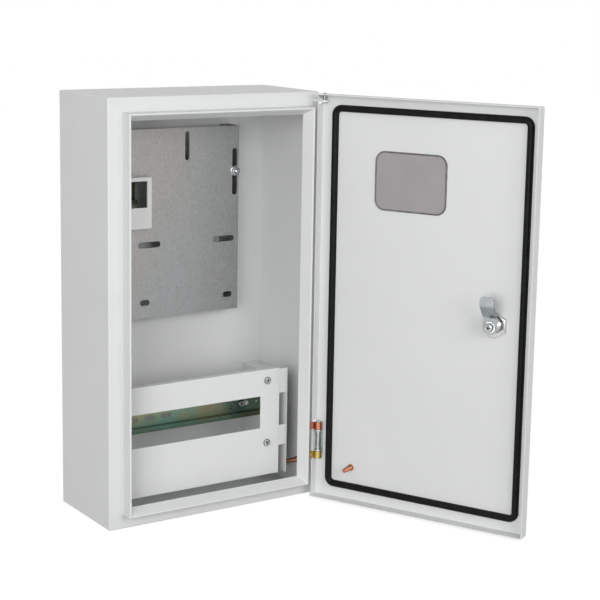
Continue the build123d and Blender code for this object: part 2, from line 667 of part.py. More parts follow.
def breaker_cover():
    """The moulded cover of the input breaker, open behind and with a window for levers."""
    front = PLATE_Y - COVER_PROUD
    cover = block((COVER_LEFT, COVER_RIGHT), (front, PLATE_Y), (COVER_LOW, COVER_HIGH))
    cover = fillet(cover.edges() - cover.edges().group_by(Axis.Y)[-1], COVER_RADIUS)
    w = COVER_WALL
    inside_x = (COVER_LEFT + w, COVER_RIGHT - w)
    inside_z = (COVER_LOW + w, COVER_HIGH - w)
    edge = COVER_SKIRT + COVER_CLEAR
    skirt = block(
        (COVER_LEFT + edge, COVER_RIGHT - edge), (PLATE_Y, PLATE_Y + 2 * PLATE_SHEET),
        (COVER_LOW + edge, COVER_HIGH - edge))
    cover = cover + skirt
    cover = cover - block(inside_x, (front + w, PLATE_Y + 2 * PLATE_SHEET), inside_z)
    high = COVER_HIGH - COVER_WINDOW_TOP
    window_x = (COVER_LEFT + COVER_WINDOW_SIDE, COVER_RIGHT - COVER_WINDOW_SIDE)
    return cover - block(window_x, (front - 1, front + w + 1), (high - COVER_WINDOW_HEIGHT, high))


def hat_rail(left, right, back, z):
    """A hat-shaped mounting rail with its base towards the wall."""
    t = RAIL_SHEET
    front = back - RAIL_HEIGHT
    x = (left, right)
    half_base = RAIL_BASE / 2
    half = RAIL_WIDTH / 2
    crown = block(x, (front, back), (z - half_base, z + half_base))
    crown = crown - block(x, (front, back - t), (z - half_base + t, z + half_base - t))
    for low, high in ((z - half, z - half_base), (z + half_base, z + half)):
        crown = crown + block(x, (front, front + t), (low, high))
    return crown


def rail_slots():
    """The middles of the slots of the module rail: a run at its left end, one at its right."""
    run = [RAIL_LEFT + RAIL_FIRST_SLOT + RAIL_SLOT_PITCH * k for k in range(RAIL_SLOT_RUN)]
    return run + [RAIL_RIGHT - RAIL_LAST_SLOT]


def din_rail():
    """The slotted rail for the module row."""
    rail = hat_rail(RAIL_LEFT, RAIL_RIGHT, RAIL_Y, RAIL_Z)
    y = RAIL_Y - RAIL_SHEET - 1
    for x in rail_slots():
        rail = rail - slot(x, RAIL_Z, RAIL_SLOT_LENGTH, RAIL_SLOT, False, y, RAIL_SHEET + 2)
    return rail - rod((RAIL_RIGHT - RAIL_HOLE_IN, y, RAIL_Z), (0, 1, 0), RAIL_HOLE_R, RAIL_SHEET + 2)


def breaker_rail():
    """The short plain rail on the back wall, behind the breaker cover."""
    z = COVER_HIGH - COVER_WINDOW_TOP - COVER_WINDOW_HEIGHT / 2
    return hat_rail(COVER_LEFT + SHORT_RAIL_IN, COVER_RIGHT - SHORT_RAIL_IN, -SHEET, z)


def rail_screw_places():
    """Where the two screws of the rail sit, each in the last slot of its end."""
    slots = rail_slots()
    return slots[0] + RAIL_SCREW_SHIFT, slots[-1] - RAIL_SCREW_SHIFT


def rail_screws():
    """The two screws that hold the rail to the side brackets."""
    screws = []
    for x in rail_screw_places():
        seat = (x, RAIL_Y - RAIL_SHEET, RAIL_Z)
        shank = RAIL_SHEET + BRACKET_T + 4
        screws.append(pan_screw(seat, (0, -1, 0), RAIL_SCREW_HEAD_R, RAIL_SCREW_HEAD, RAIL_SCREW_R, shank))
    return Compound(screws)


def lug(x, y, z, free_side):
    """A flat lug of a side bracket with two rounded corners on its free side."""
    piece = block(x, (y, y + BRACKET_T), z)
    edges = piece.edges().filter_by(Axis.Y).sort_by(Axis.X)
    corners = edges[:2] if free_side < 0 else edges[-2:]
    return fillet(corners, LUG_CORNER)


def right_bracket():
    """The right carrier: a web along the side wall, with a foot, a flange and three lugs."""
    t = BRACKET_T
    x = RIGHT_WEB_X
    y = (LUG_FRONT_Y, -SHEET)
    bracket = block((x - t, x), y, (WEB_LOW, WEB_HIGH))
    bracket = bracket + block((x - t, x + FOOT_OUT), (-SHEET - t, -SHEET), (WEB_LOW, WEB_HIGH))
    bracket = bracket + block((x - t, CAVITY), (RAIL_Y, -SHEET), (WEB_HIGH - t, WEB_HIGH))
    for z in (LUG_LOW, LUG_HIGH):
        bracket = bracket + lug((x - LUG_REACH, x), LUG_FRONT_Y, z, -1)
    rail_z = (RAIL_Z - RAIL_LUG_HALF, RAIL_Z + RAIL_LUG_HALF)
    bracket = bracket + lug((x - RAIL_LUG_REACH, x), RAIL_Y, rail_z, -1)
    return drilled(bracket, PANEL_RIGHT - SCREW_IN, rail_screw_places()[1])


def left_bracket():
    """The left carrier: a web flat on the side wall, with three lugs."""
    t = BRACKET_T
    y = (LUG_FRONT_Y, -SHEET)
    bracket = block((-CAVITY, -CAVITY + t), y, (WEB_LOW, WEB_HIGH))
    for z in (LUG_LOW, LUG_HIGH):
        bracket = bracket + lug((-CAVITY, -CAVITY + LEFT_REACH), LUG_FRONT_Y, z, 1)
    rail_z = (RAIL_Z - RAIL_LUG_HALF, RAIL_Z + RAIL_LUG_HALF)
    bracket = bracket + lug((-CAVITY, -CAVITY + LEFT_REACH), RAIL_Y, rail_z, 1)
    return drilled(bracket, PANEL_LEFT + SCREW_IN, rail_screw_places()[0])


def drilled(bracket, panel_x, rail_x):
    """A side bracket with the holes for its panel screws and its rail screw."""
    for z in (SCREW_LOW, SCREW_HIGH):
        bracket = bracket - rod((panel_x, LUG_FRONT_Y - 1, z), (0, 1, 0), PANEL_HOLE_R, BRACKET_T + 2)
    return bracket - rod((rail_x, RAIL_Y - 1, RAIL_Z), (0, 1, 0), RAIL_SCREW_R + SCREW_CLEAR, BRACKET_T + 2)


def cover_panel():
    """The panel over the module row, with its long edges folded back."""
    t = PANEL_SHEET
    x = (PANEL_LEFT, PANEL_RIGHT)
    panel = block(x, (PANEL_Y, PANEL_Y + PANEL_FOLD), (PANEL_LOW, PANEL_HIGH))
    panel = fillet(panel.edges().filter_by(Axis.X).group_by(Axis.Y)[0], t)
    panel = panel - block(x, (PANEL_Y + t, PANEL_Y + PANEL_FOLD), (PANEL_LOW + t, PANEL_HIGH - t))
    panel = panel - block((CUT_LEFT, CUT_RIGHT), (PANEL_Y - 1, PANEL_Y + t + 1), (CUT_LOW, CUT_HIGH))
    for screw_x, z in panel_screw_places():
        panel = panel - rod((screw_x, PANEL_Y - 1, z), (0, 1, 0), PANEL_HOLE_R, t + 2)
    return panel


def panel_screw_places():
    """The four corners where the panel is screwed to the side brackets."""
    across = (PANEL_LEFT + SCREW_IN, PANEL_RIGHT - SCREW_IN)
    return [(x, z) for x in across for z in (SCREW_LOW, SCREW_HIGH)]


def panel_screws():
    """The four screws of the cover panel."""
    screws = []
    for x, z in panel_screw_places():
        seat = (x, PANEL_Y, z)
        screws.append(pan_screw(
            seat, (0, -1, 0), PANEL_SCREW_HEAD_R, PANEL_SCREW_HEAD, PANEL_SCREW_R, PANEL_SCREW_LENGTH))
    return Compound(screws)


def earth_stud(start, direction):
    """A welded stud with a thin base and a bevelled tip."""
    stud = rod(start, direction, STUD_R, STUD_LENGTH)
    tip = stud.edges().sort_by(Axis(start, direction))[-1:]
    stud = chamfer(tip, 0.8)
    return stud + rod(start, direction, STUD_BASE_R, STUD_BASE)


body_nodes = {
    "body_shell": body_shell,
    "back_panel": back_panel,
    "hinge_knuckle_high": lambda: hinge_knuckle(HIGH_KNUCKLE_Z),
    "hinge_knuckle_low": lambda: hinge_knuckle(LOW_KNUCKLE_Z),
    "hinge_pin_low": hinge_pin_low,
    "hinge_tongue": hinge_tongue,
    "hinge_pin_high": hinge_pin_high,
    "meter_plate": meter_plate,
    "plate_bolt": plate_bolt,
    "plate_washer": plate_washer,
    "plate_nut": plate_nut,
    "breaker_cover": breaker_cover,
    "breaker_rail": breaker_rail,
    "bracket_right": right_bracket,
    "bracket_left": left_bracket,
    "din_rail": din_rail,
    "rail_screws": rail_screws,
    "cover_panel": cover_panel,
    "panel_screws": panel_screws,
    "body_earth_stud": lambda: earth_stud((CAVITY, BODY_STUD[0], BODY_STUD[1]), (-1, 0, 0)),
}

door_nodes = {
    "door_panel": door_panel,
    "door_gasket": door_gasket,
    "window_seal": window_seal,
    "window_pane": window_pane,
    "hinge_bracket": hinge_bracket,
    "lock_housing": lock_housing,
    "lock_seal": lock_seal,
    "lock_nut": lock_nut,
    "door_earth_stud": lambda: earth_stud((DOOR_EDGE - DOOR_STUD_IN, DOOR_IN, DOOR_STUD_Z), (0, 1, 0)),
    "lock_driver": lock_driver,
    "lock_cam": lock_cam,
    "cam_washer": cam_washer,
    "cam_screw": cam_screw,
}

os.makedirs("parts", exist_ok=True)
to_origin = Pos(0, 0, -(WALL_HOLE_LOW + WALL_HOLE_HIGH) / 2)
for name, make in body_nodes.items():
    export_step(to_origin * make(), f"parts/{name}.step")
for name, make in door_nodes.items():
    export_step(to_origin * opened(make()), f"parts/{name}.step")
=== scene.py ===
import json
import math

import bmesh
import bpy
import numpy as np
from bpy.props import FloatProperty, FloatVectorProperty, PointerProperty
from mathutils import Matrix, Vector


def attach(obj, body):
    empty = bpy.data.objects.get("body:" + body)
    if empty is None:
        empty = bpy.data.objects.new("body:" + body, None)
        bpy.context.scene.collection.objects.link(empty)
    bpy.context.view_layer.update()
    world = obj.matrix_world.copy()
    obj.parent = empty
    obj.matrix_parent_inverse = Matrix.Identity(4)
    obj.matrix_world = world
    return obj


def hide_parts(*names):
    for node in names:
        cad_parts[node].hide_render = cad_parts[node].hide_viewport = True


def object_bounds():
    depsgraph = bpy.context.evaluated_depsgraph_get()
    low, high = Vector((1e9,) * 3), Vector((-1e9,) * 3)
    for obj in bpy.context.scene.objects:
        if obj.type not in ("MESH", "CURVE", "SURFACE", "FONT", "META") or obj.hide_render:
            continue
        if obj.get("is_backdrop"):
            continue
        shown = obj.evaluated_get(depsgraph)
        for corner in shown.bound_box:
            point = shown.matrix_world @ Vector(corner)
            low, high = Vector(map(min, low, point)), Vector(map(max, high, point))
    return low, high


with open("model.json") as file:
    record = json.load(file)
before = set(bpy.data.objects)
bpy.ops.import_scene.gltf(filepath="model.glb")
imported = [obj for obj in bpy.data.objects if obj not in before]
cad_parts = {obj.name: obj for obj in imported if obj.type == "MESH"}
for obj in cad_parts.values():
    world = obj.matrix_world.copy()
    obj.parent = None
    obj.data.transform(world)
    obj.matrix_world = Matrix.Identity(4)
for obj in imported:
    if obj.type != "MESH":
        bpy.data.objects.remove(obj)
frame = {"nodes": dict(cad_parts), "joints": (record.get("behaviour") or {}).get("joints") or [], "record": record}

bl_info = {
    "name": "Meter enclosure finish",
    "version": (1, 0, 0),
    "blender": (4, 5, 0),
    "location": "3D View > Sidebar > Enclosure",
    "description": "Finishes, fasteners, seals and stage for a sheet-metal meter enclosure",
    "category": "Object",
}

MM = 0.001

# Screws and threads: rows of points to each turn of thread, the dome's drop as a share of the
# head, and where on the radius the painted shade of the rim starts and how far it runs
ROWS_PER_THREAD = 8
CROWN_DROP = 0.18
SHADED_RIM = 0.78
SHADED_RIM_RUN = 0.1

# Lock: nut bore, the barrel's thread, flats, bore and end, and the cam's sheet, bends and darkening
NUT_BORE = 9.4 * MM
BARREL_ROOT = 9.32 * MM
BARREL_CREST = 9.75 * MM
BARREL_FLAT = 8.34 * MM
BARREL_BORE = 6.9 * MM
BARREL_IN_NUT = 0.5 * MM
BARREL_BEVEL = (0.3 * MM, 0.25 * MM)
CAM_SHEET = 2.5 * MM
CAM_TIP_RADIUS = 5.0 * MM
CAM_EDGE = 0.35 * MM
CAM_SLOPE_START = 12.5 * MM
CAM_SLOPE_RUN = 16.0 * MM
CAM_BEND_SOFTNESS = 0.05
CAM_DARKER = 0.42
CAM_SLOPE_DARKER = 0.34
CAM_SLOPE_FADE = 1.5 * MM
CAM_SCREW_RADIUS = 2.5 * MM
CAM_WASHER_BORE = 2.7 * MM
CAM_WASHER_TEETH = 18

# Earth studs and the bolt of the meter plate
STUD_RADIUS = 3.0 * MM
STUD_BASE = 0.8 * MM
BOLT_HEAD = 4.0 * MM
BOLT_ACROSS = 10.0 * MM
BOLT_HEAD_DIMPLE = 0.6 * MM
PLATE_WASHER_BORE = 3.2 * MM
PLATE_NUT_BORE = 3.05 * MM

# Screws as head radius, head height and shank radius
PANEL_SCREW = (5.0 * MM, 2.4 * MM, 2.0 * MM)
RAIL_SCREW = (4.6 * MM, 2.4 * MM, 2.4 * MM)

# Outer corner radius of the window's rubber profile
PROFILE_CORNER = 14.0 * MM

# Stage: the lamps' places and sizes, the floor's half width and its lift towards white
FRONT_LIGHT_AT, FRONT_LIGHT_SIZE = (0.1, -2.8, 0.75), 1.2
LEFT_LIGHT_AT, LEFT_LIGHT_SIZE = (-2.3, -2.05, 0.5), 1.6
FLOOR_HALF = 6.0
FLOOR_LIFT = 0.8

# The door is modelled open, so what is shaped as if it were shut is turned about the hinge
HINGE = next(joint for joint in frame["joints"] if joint["name"] == "door_hinge")
PIVOT = Vector(HINGE["pos_m"])
OPEN_ANGLE = math.radians(-HINGE["range_deg"][0])
TO_PIVOT = Matrix.Translation(PIVOT)
DOOR_TURN = TO_PIVOT @ Matrix.Rotation(OPEN_ANGLE, 4, "Z") @ TO_PIVOT.inverted()
STILL = Matrix.Identity(4)


def node_box(node, turn=STILL):
    """The lowest and highest corner of a node in metres, after undoing the given turn."""
    mesh = frame["nodes"][node].data
    points = np.empty(len(mesh.vertices) * 3)
    mesh.vertices.foreach_get("co", points)
    points = moved(points.reshape(-1, 3), turn.inverted())
    return points.min(0), points.max(0)


def moved(points, matrix):
    """Points times a 4 by 4 matrix, as one array."""
    values = np.array(matrix)
    return points @ values[:3, :3].T + values[:3, 3]


def axis_place(base, direction, turn=STILL):
    """The matrix that puts local Z along a direction from a base point, then turns it."""
    facing = Vector(direction).to_track_quat("Z", "Y").to_matrix().to_4x4()
    return turn @ Matrix.Translation(Vector(base)) @ facing


# Meshes

def grid_faces(rows, columns, close_rows, close_columns):
    """The faces of a grid: each joins a point, its right, diagonal and lower neighbours."""
    row = np.arange(rows if close_rows else rows - 1)[:, None]
    column = np.arange(columns if close_columns else columns - 1)[None, :]
    below = (row + 1) % rows
    right = (column + 1) % columns
    corners = [row * columns + column, row * columns + right,
               below * columns + right, below * columns + column]
    shape = (row.size, column.size)
    return np.stack([np.broadcast_to(c, shape) for c in corners], -1).reshape(-1, 4)


def grid_object(name, grid, body, close_rows=False, close_columns=False, sharp=35.0):
    """A mesh from a grid of points, with its doubles merged and its faces turned outwards."""
    rows, columns = grid.shape[:2]
    mesh = bpy.data.meshes.new(name)
    faces = grid_faces(rows, columns, close_rows, close_columns)
    mesh.from_pydata(grid.reshape(-1, 3).tolist(), [], faces.tolist())
    shape = bmesh.new()
    shape.from_mesh(mesh)
    bmesh.ops.remove_doubles(shape, verts=shape.verts, dist=1e-7)
    bmesh.ops.recalc_face_normals(shape, faces=shape.faces)
    shape.to_mesh(mesh)
    shape.free()
    mesh.polygons.foreach_set("use_smooth", np.ones(len(mesh.polygons), bool))
    mesh.set_sharp_from_angle(angle=math.radians(sharp))
    piece = bpy.data.objects.new(name, mesh)
    bpy.context.scene.collection.objects.link(piece)
    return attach(piece, body)


def crown_height(radius, head_r, head):
    """A screw's domed top: the head less a share of it times the squared radius over its own."""
    return head - CROWN_DROP * head * (radius / head_r) ** 2


def mark_dimmed(piece, place, share):
    """Marks the share by which the plating is dimmed, by a function of the points before their place."""
    points = np.empty(len(piece.data.vertices) * 3)
    piece.data.vertices.foreach_get("co", points)
    local = moved(points.reshape(-1, 3), place.inverted())
    # On screws the dimmed share is painted shade; on the cam it is a darker tone
    piece.data.attributes.new("dimmed", "FLOAT", "POINT").data.foreach_set("value", share(local))


def screw_shade(head_r, head):
    """Painted shade on a screw: the larger of a rise near the rim and one with the depth under the crown."""
    def share(points):
        radius = np.hypot(points[:, 0], points[:, 1])
        rim = np.clip((radius / head_r - SHADED_RIM) / SHADED_RIM_RUN, 0, 1)
        sunk = np.clip((crown_height(radius, head_r, head) - points[:, 2]) / (head * 0.25), 0, 1)
        return np.maximum(rim, sunk)
    return share


def ring_columns(count):
    """Angles once around a circle, the first at zero."""
    return np.arange(count) * (2 * math.pi / count)


def triangle_wave(phase):
    """A wave that rises and falls in straight lines between 0 and 1, once per unit of phase."""
    return np.abs(2 * (phase - np.floor(phase + 0.5)))


def turned_grid(profile, columns, thread=(0, 0, 0, 1), cross=(0, 0, 0)):
    """A profile of radius and height turned about Z.

    Thread is (lowest height, highest height, depth, pitch): between the heights the radius drops by
    the depth times a triangle wave of height over pitch plus the angle's share of a turn.
    Cross is (arm half width, reach, depth): the height drops by the depth where the nearer of x and
    y is under the half width and the radius is under the reach, with sloping walls.
    """
    radius, height = np.asarray(profile, float).T
    angle = ring_columns(columns)[None, :]
    r = np.repeat(radius[:, None], columns, 1)
    h = np.repeat(height[:, None], columns, 1)
    low, high, depth, pitch = thread
    fade = np.clip((h - low) / pitch, 0, 1) * np.clip((high - h) / pitch, 0, 1)
    r = r - depth * triangle_wave(h / pitch + angle / (2 * math.pi)) * fade
    half, reach, sink = cross
    if sink:
        nearer = np.minimum(np.abs(r * np.cos(angle)), np.abs(r * np.sin(angle)))
        wall = np.clip((half - nearer) / (half * 0.35), 0, 1)
        wall = wall * np.clip((reach - r) / (reach * 0.5), 0, 1)
        top = np.arange(len(radius))[:, None] <= int(np.argmax(radius))
        h = h - sink * wall * top
    return np.stack([r * np.cos(angle), r * np.sin(angle), h], -1)


def ramp(start, end, count):
    """Points on a straight line in a profile, without its last point."""
    share = np.linspace(0, 1, count, endpoint=False)[:, None]
    return np.asarray(start) + share * (np.asarray(end) - np.asarray(start))


def arc(centre, radius, first, last, count):
    """Points of a circle in a profile: centre plus radius times the angle's cosine and sine."""
    angle = np.radians(np.linspace(first, last, count))
    return np.stack([centre[0] + radius * np.cos(angle), centre[1] + radius * np.sin(angle)], -1)


def screw_grid(head_r, head, shank_r, shank, pitch, columns=72):
    """A pan-head screw that points down from its seat at height 0, with a cross recess.

    The head's top is a shallow dome and its rim is a quarter circle.
    """
    rim = head * 0.42
    inner = np.linspace(0, head_r - rim, 26)
    crown = crown_height(inner, head_r, head)
    dome = np.stack([inner, crown], -1)
    round_rim = arc((head_r - rim, crown[-1] - rim), rim, 88, 0, 8)
    steps = max(8, int(shank / pitch * ROWS_PER_THREAD))
    point = -shank + 0.5 * MM
    profile = np.concatenate([
        dome, round_rim, ramp((head_r, 0.04 * head), (shank_r, 0), 4),
        ramp((shank_r, 0), (shank_r, point), steps),
        ramp((shank_r, point), (shank_r * 0.75, -shank), 3), [(0, -shank)]])
    thread = (-shank, -0.2 * MM, pitch * 0.45, pitch)
    cross = (head_r * 0.16, head_r * 0.62, head * 0.62)
    return turned_grid(profile, columns, thread, cross)


def stud_grid(radius, length, pitch, base_r=0.0, base=0.0, columns=72):
    """A threaded stud up from height 0, with a bevelled tip and, if given, a flat base."""
    bevel = radius * 0.25
    steps = int(length / pitch * ROWS_PER_THREAD)
    foot = [(0, 0)]
    if base:
        edge = arc((base_r - base / 2, base / 2), base / 2, 0, 90, 6)
        foot = np.concatenate([[(0, 0), (base_r, 0)], edge, [(radius * 1.08, base)]])
    profile = np.concatenate([
        foot, ramp((radius, base), (radius, length - bevel), steps),
        ramp((radius, length - bevel), (radius - bevel, length), 4), [(0, length)]])
    return turned_grid(profile, columns, (base, length, pitch * 0.5, pitch))


def nut_grid(across, thickness, bore, per_side=14):
    """A hexagonal nut on its seat at height 0, closed both ways round.

    The outer radius at an angle is half the size across flats over the cosine of the angle from the
    middle of the flat. A cone limits it near the two faces, which makes the round chamfers.
    """
    columns = 6 * per_side
    angle = ring_columns(columns)
    from_flat = (angle + math.pi / 6) % (math.pi / 3) - math.pi / 6
    hexagon = across / 2 / np.cos(from_flat)
    corner = across / 2 / math.cos(math.pi / 6)
    face_r = across / 2 * 0.95
    slope = math.tan(math.radians(30))
    depth = (corner - face_r) * slope
    side = np.concatenate([np.linspace(0, depth, 8),
                           np.linspace(depth, thickness - depth, 4)[1:-1],
                           np.linspace(thickness - depth, thickness, 8)])
    cone = face_r + np.minimum(side, thickness - side) / slope
    outer = np.minimum(hexagon[None, :], cone[:, None])
    lead = bore * 0.08
    inner_h = np.array([thickness, thickness - lead, lead, 0])
    inner_r = np.array([bore + lead, bore, bore, bore + lead])
    inner = np.repeat(inner_r[:, None], columns, 1)
    r = np.concatenate([outer, inner])
    h = np.repeat(np.concatenate([side, inner_h])[:, None], columns, 1)
    return np.stack([r * np.cos(angle), r * np.sin(angle), h], -1)


def washer_grid(outer, inner, thickness, columns=72, teeth=0):
    """A washer on its seat at height 0: a round-edged section turned about Z, closed both ways.

    Teeth press the rim down by a third of the thickness, by the cosine of the angle times the
    number of teeth.
    """
    half = thickness / 2
    rim = arc((outer - half, half), half, -90, 90, 9)
    hole = arc((inner + half * 0.4, half), half, 90, 270, 5)
    hole[:, 0] = inner + np.abs(hole[:, 0] - inner) * 0.2
    grid = turned_grid(np.concatenate([rim, hole]), columns)
    if teeth:
        radius = np.hypot(grid[..., 0], grid[..., 1])
        share = np.clip((outer - radius) / (outer - inner), 0, 1)
        wave = 0.5 + 0.5 * np.cos(ring_columns(columns) * teeth)
        grid[..., 2] -= thickness * 0.33 * wave[None, :] * (1 - share) * (grid[..., 2] > half)
    return grid


def rounded_loop(half_x, half_z, radius, per_corner, per_side):
    """A rectangle with round corners in the plane of the door: its points and outward directions.

    Each corner is a quarter circle about a centre one radius in from both sides, and each side is
    the straight run between two quarters.
    """
    points, outward = [], []
    signs = ((1, 1), (-1, 1), (-1, -1), (1, -1))
    for quarter, (sx, sz) in enumerate(signs):
        centre = np.array([sx * (half_x - radius), sz * (half_z - radius)])
        angle = np.radians(90 * quarter + np.linspace(0, 90, per_corner))
        direction = np.stack([np.cos(angle), np.sin(angle)], -1)
        corner = centre + radius * direction
        nx, nz = signs[(quarter + 1) % 4]
        next_centre = np.array([nx * (half_x - radius), nz * (half_z - radius)])
        next_start = next_centre + radius * direction[-1]
        share = np.linspace(0, 1, per_side + 2)[1:-1, None]
        points += [corner, corner[-1] + share * (next_start - corner[-1])]
        outward += [direction, np.repeat(direction[-1:], per_side, 0)]
    return np.concatenate(points), np.concatenate(outward)


def band_grid(loop, outward, section, middle):
    """A section of (outward, into the box) offsets carried round a loop on the door."""
    flat = loop[:, None, :] + outward[:, None, :] * section[None, :, :1]
    depth = np.broadcast_to(section[None, :, 1], flat.shape[:2])
    return np.stack([middle[0] + flat[..., 0], middle[1] + depth, middle[2] + flat[..., 1]], -1)


# Materials

class Finish:
    """A material under construction: its nodes, its main shader and short ways to add to them."""

    def __init__(self, name, colour, roughness, metallic=0.0):
        self.material = bpy.data.materials.new(name)
        self.material.use_nodes = True
        self.tree = self.material.node_tree
        self.shader = self.tree.nodes["Principled BSDF"]
        self.shader.inputs["Base Color"].default_value = (*colour, 1)
        self.shader.inputs["Roughness"].default_value = roughness
        self.shader.inputs["Metallic"].default_value = metallic
        self.place = self.node("ShaderNodeTexCoord").outputs["Object"]

    def node(self, kind, inputs=(), **settings):
        """A new node; inputs are (socket, value or output) pairs."""
        made = self.tree.nodes.new(kind)
        for key, value in settings.items():
            setattr(made, key, value)
        for socket, value in inputs:
            self.feed(made, socket, value)
        return made

    def feed(self, node, socket, value):
        """Links an output to a socket, or writes a plain value there."""
        if isinstance(value, bpy.types.NodeSocket):
            self.tree.links.new(value, node.inputs[socket])
        else:
            node.inputs[socket].default_value = value

    def stretched(self, scale):
        """The object's coordinates, stretched along the axes."""
        return self.node("ShaderNodeMapping", [("Vector", self.place), ("Scale", scale)]).outputs[0]

    def noise(self, scale, detail=2.0, vector=None, roughness=0.5):
        """A noise with scale features to the metre."""
        pairs = [("Vector", vector or self.place), ("Scale", scale), ("Detail", detail),
                 ("Roughness", roughness)]
        return self.node("ShaderNodeTexNoise", pairs).outputs["Fac"]

    def cells(self, scale, feature="F1"):
        """Irregular cells, scale of them to the metre."""
        pairs = [("Vector", self.place), ("Scale", scale)]
        return self.node("ShaderNodeTexVoronoi", pairs, feature=feature).outputs

    def sum_of(self, first, second, operation="ADD"):
        """The sum of two values, or what else the operation makes of them."""
        pairs = [(0, first), (1, second)]
        return self.node("ShaderNodeMath", pairs, operation=operation).outputs[0]

    def between(self, value, stops):
        """A colour ramp through (position, colour) stops."""
        made = self.node("ShaderNodeValToRGB", [("Fac", value)])
        ramp_of = made.color_ramp
        for _ in stops[2:]:
            ramp_of.elements.new(0.5)
        for element, (position, colour) in zip(ramp_of.elements, stops):
            element.position = position
            element.color = (*colour, 1)
        return made.outputs["Color"]

    def range(self, value, low, high, new_low, new_high):
        """A value carried from one range to another, and held at its ends."""
        pairs = [("Value", value), ("From Min", low), ("From Max", high),
                 ("To Min", new_low), ("To Max", new_high)]
        return self.node("ShaderNodeMapRange", pairs).outputs["Result"]

    def varied(self, value, low, high, colour, dark, light):
        """A colour that goes from one share of itself to another as the value rises."""
        return self.between(value, [(low, shaded(colour, dark)), (high, shaded(colour, light))])

    def mix(self, share, first, second, blend="MIX"):
        """Two colours mixed by a share."""
        made = self.node("ShaderNodeMix", data_type="RGBA", blend_type=blend)
        for index, value in ((0, share), (6, first), (7, second)):
            if isinstance(value, bpy.types.NodeSocket):
                self.tree.links.new(value, made.inputs[index])
            else:
                made.inputs[index].default_value = value if index == 0 else (*value, 1)
        return made.outputs[2]

    def bump(self, height, distance, strength=1.0, under=None):
        """A bump of a height pattern, on top of another bump if one is given."""
        pairs = [("Height", height), ("Distance", distance), ("Strength", strength)]
        if under is not None:
            pairs.append(("Normal", under))
        return self.node("ShaderNodeBump", pairs).outputs["Normal"]

    def painted_crevice_shade(self, colour, reach, dark):
        """Painted shade: a colour darkened towards its share where other surfaces lie within the reach."""
        made = self.node("ShaderNodeAmbientOcclusion", [("Distance", reach)], samples=8)
        shade = self.range(made.outputs["AO"], 0.25, 0.95, dark, 1.0)
        grey = self.node("ShaderNodeCombineColor", [(i, shade) for i in range(3)]).outputs[0]
        return self.mix(1.0, colour, grey, "MULTIPLY")

    def set(self, socket, value):
        """Feeds a socket of the main shader."""
        self.feed(self.shader, socket, value)


def shaded(colour, share):
    """A colour times a number."""
    return tuple(channel * share for channel in colour)


def paint_finish(look):
    """Powder coat: a fine grain over a slow orange peel, with a faint drift in tone."""
    colour = tuple(look.paint_colour)
    finish = Finish("body_paint", colour, look.paint_roughness)
    drift = finish.noise(9.0, 3.0)
    finish.set("Base Color", finish.varied(drift, 0.3, 0.7, colour, 0.982, 1.012))
    rough = look.paint_roughness
    finish.set("Roughness", finish.range(finish.noise(60.0), 0.3, 0.7, rough - 0.04, rough + 0.05))
    peel = finish.bump(finish.noise(1 / look.peel_size), look.peel_height, 0.6)
    grain = finish.noise(1 / look.grain_size, 1.0)
    finish.set("Normal", finish.bump(grain, look.grain_height, 0.5, peel))
    finish.set("Specular IOR Level", 0.45)
    return finish.material


def galvanised_finish(look):
    """Galvanised sheet: fine upright grain over small crystals, drifting from warm to cool grey."""
    colour = tuple(look.galvanised_colour)
    finish = Finish("galvanised", colour, 0.42, 0.8)
    upright = finish.stretched((2.2, 1.0, 0.7))
    grain = finish.noise(1 / look.spangle_size, 5.0, upright, 0.7)
    cell_colour = finish.cells(1.3 / look.spangle_size)["Color"]
    crystal = finish.node("ShaderNodeSeparateColor", [("Color", cell_colour)]).outputs["Red"]
    mixed = finish.sum_of(grain, finish.sum_of(crystal, 0.16, "MULTIPLY"))
    tone = finish.varied(mixed, 0.3, 0.8, colour, 0.83, 1.14)
    drift = finish.noise(7.0, 1.0, finish.stretched((1.0, 1.0, 0.35)))
    cast = finish.between(drift, [(0.4, (1.02, 0.985, 0.96)), (0.6, (0.96, 1.0, 1.0))])
    finish.set("Base Color", finish.mix(1.0, tone, cast, "MULTIPLY"))
    finish.set("Roughness", finish.range(mixed, 0.3, 0.8, 0.34, 0.52))
    finish.set("Normal", finish.bump(mixed, 0.00005, 0.35))
    return finish.material


def zinc_finish(look, name, colour):
    """Bright zinc plating: soft clouds, fine scratches, painted shade in crevices and dimmed places.

    A piece may carry an attribute that gives the share by which its plating is dimmed.
    """
    finish = Finish(name, colour, 0.27, 1.0)
    tone = finish.varied(finish.noise(110.0, 2.0), 0.35, 0.65, colour, 0.86, 1.08)
    # Painted shade on screw heads and a darker tone on the cam, mixed in by the dimmed share
    dimmed = finish.node("ShaderNodeAttribute", attribute_name="dimmed").outputs["Fac"]
    tone = finish.mix(dimmed, tone, tuple(look.dark_zinc_colour))
    # Painted shade: darker where other surfaces lie within the reach, as in recesses and seats
    finish.set("Base Color", finish.painted_crevice_shade(tone, 0.0011, 0.22))
    finish.set("Roughness", finish.range(finish.noise(300.0), 0.3, 0.7, 0.2, 0.32))
    scratches = finish.noise(900.0, 2.0, finish.stretched((1, 1, 0.15)))
    finish.set("Normal", finish.bump(scratches, 0.00001, 0.3))
    return finish.material


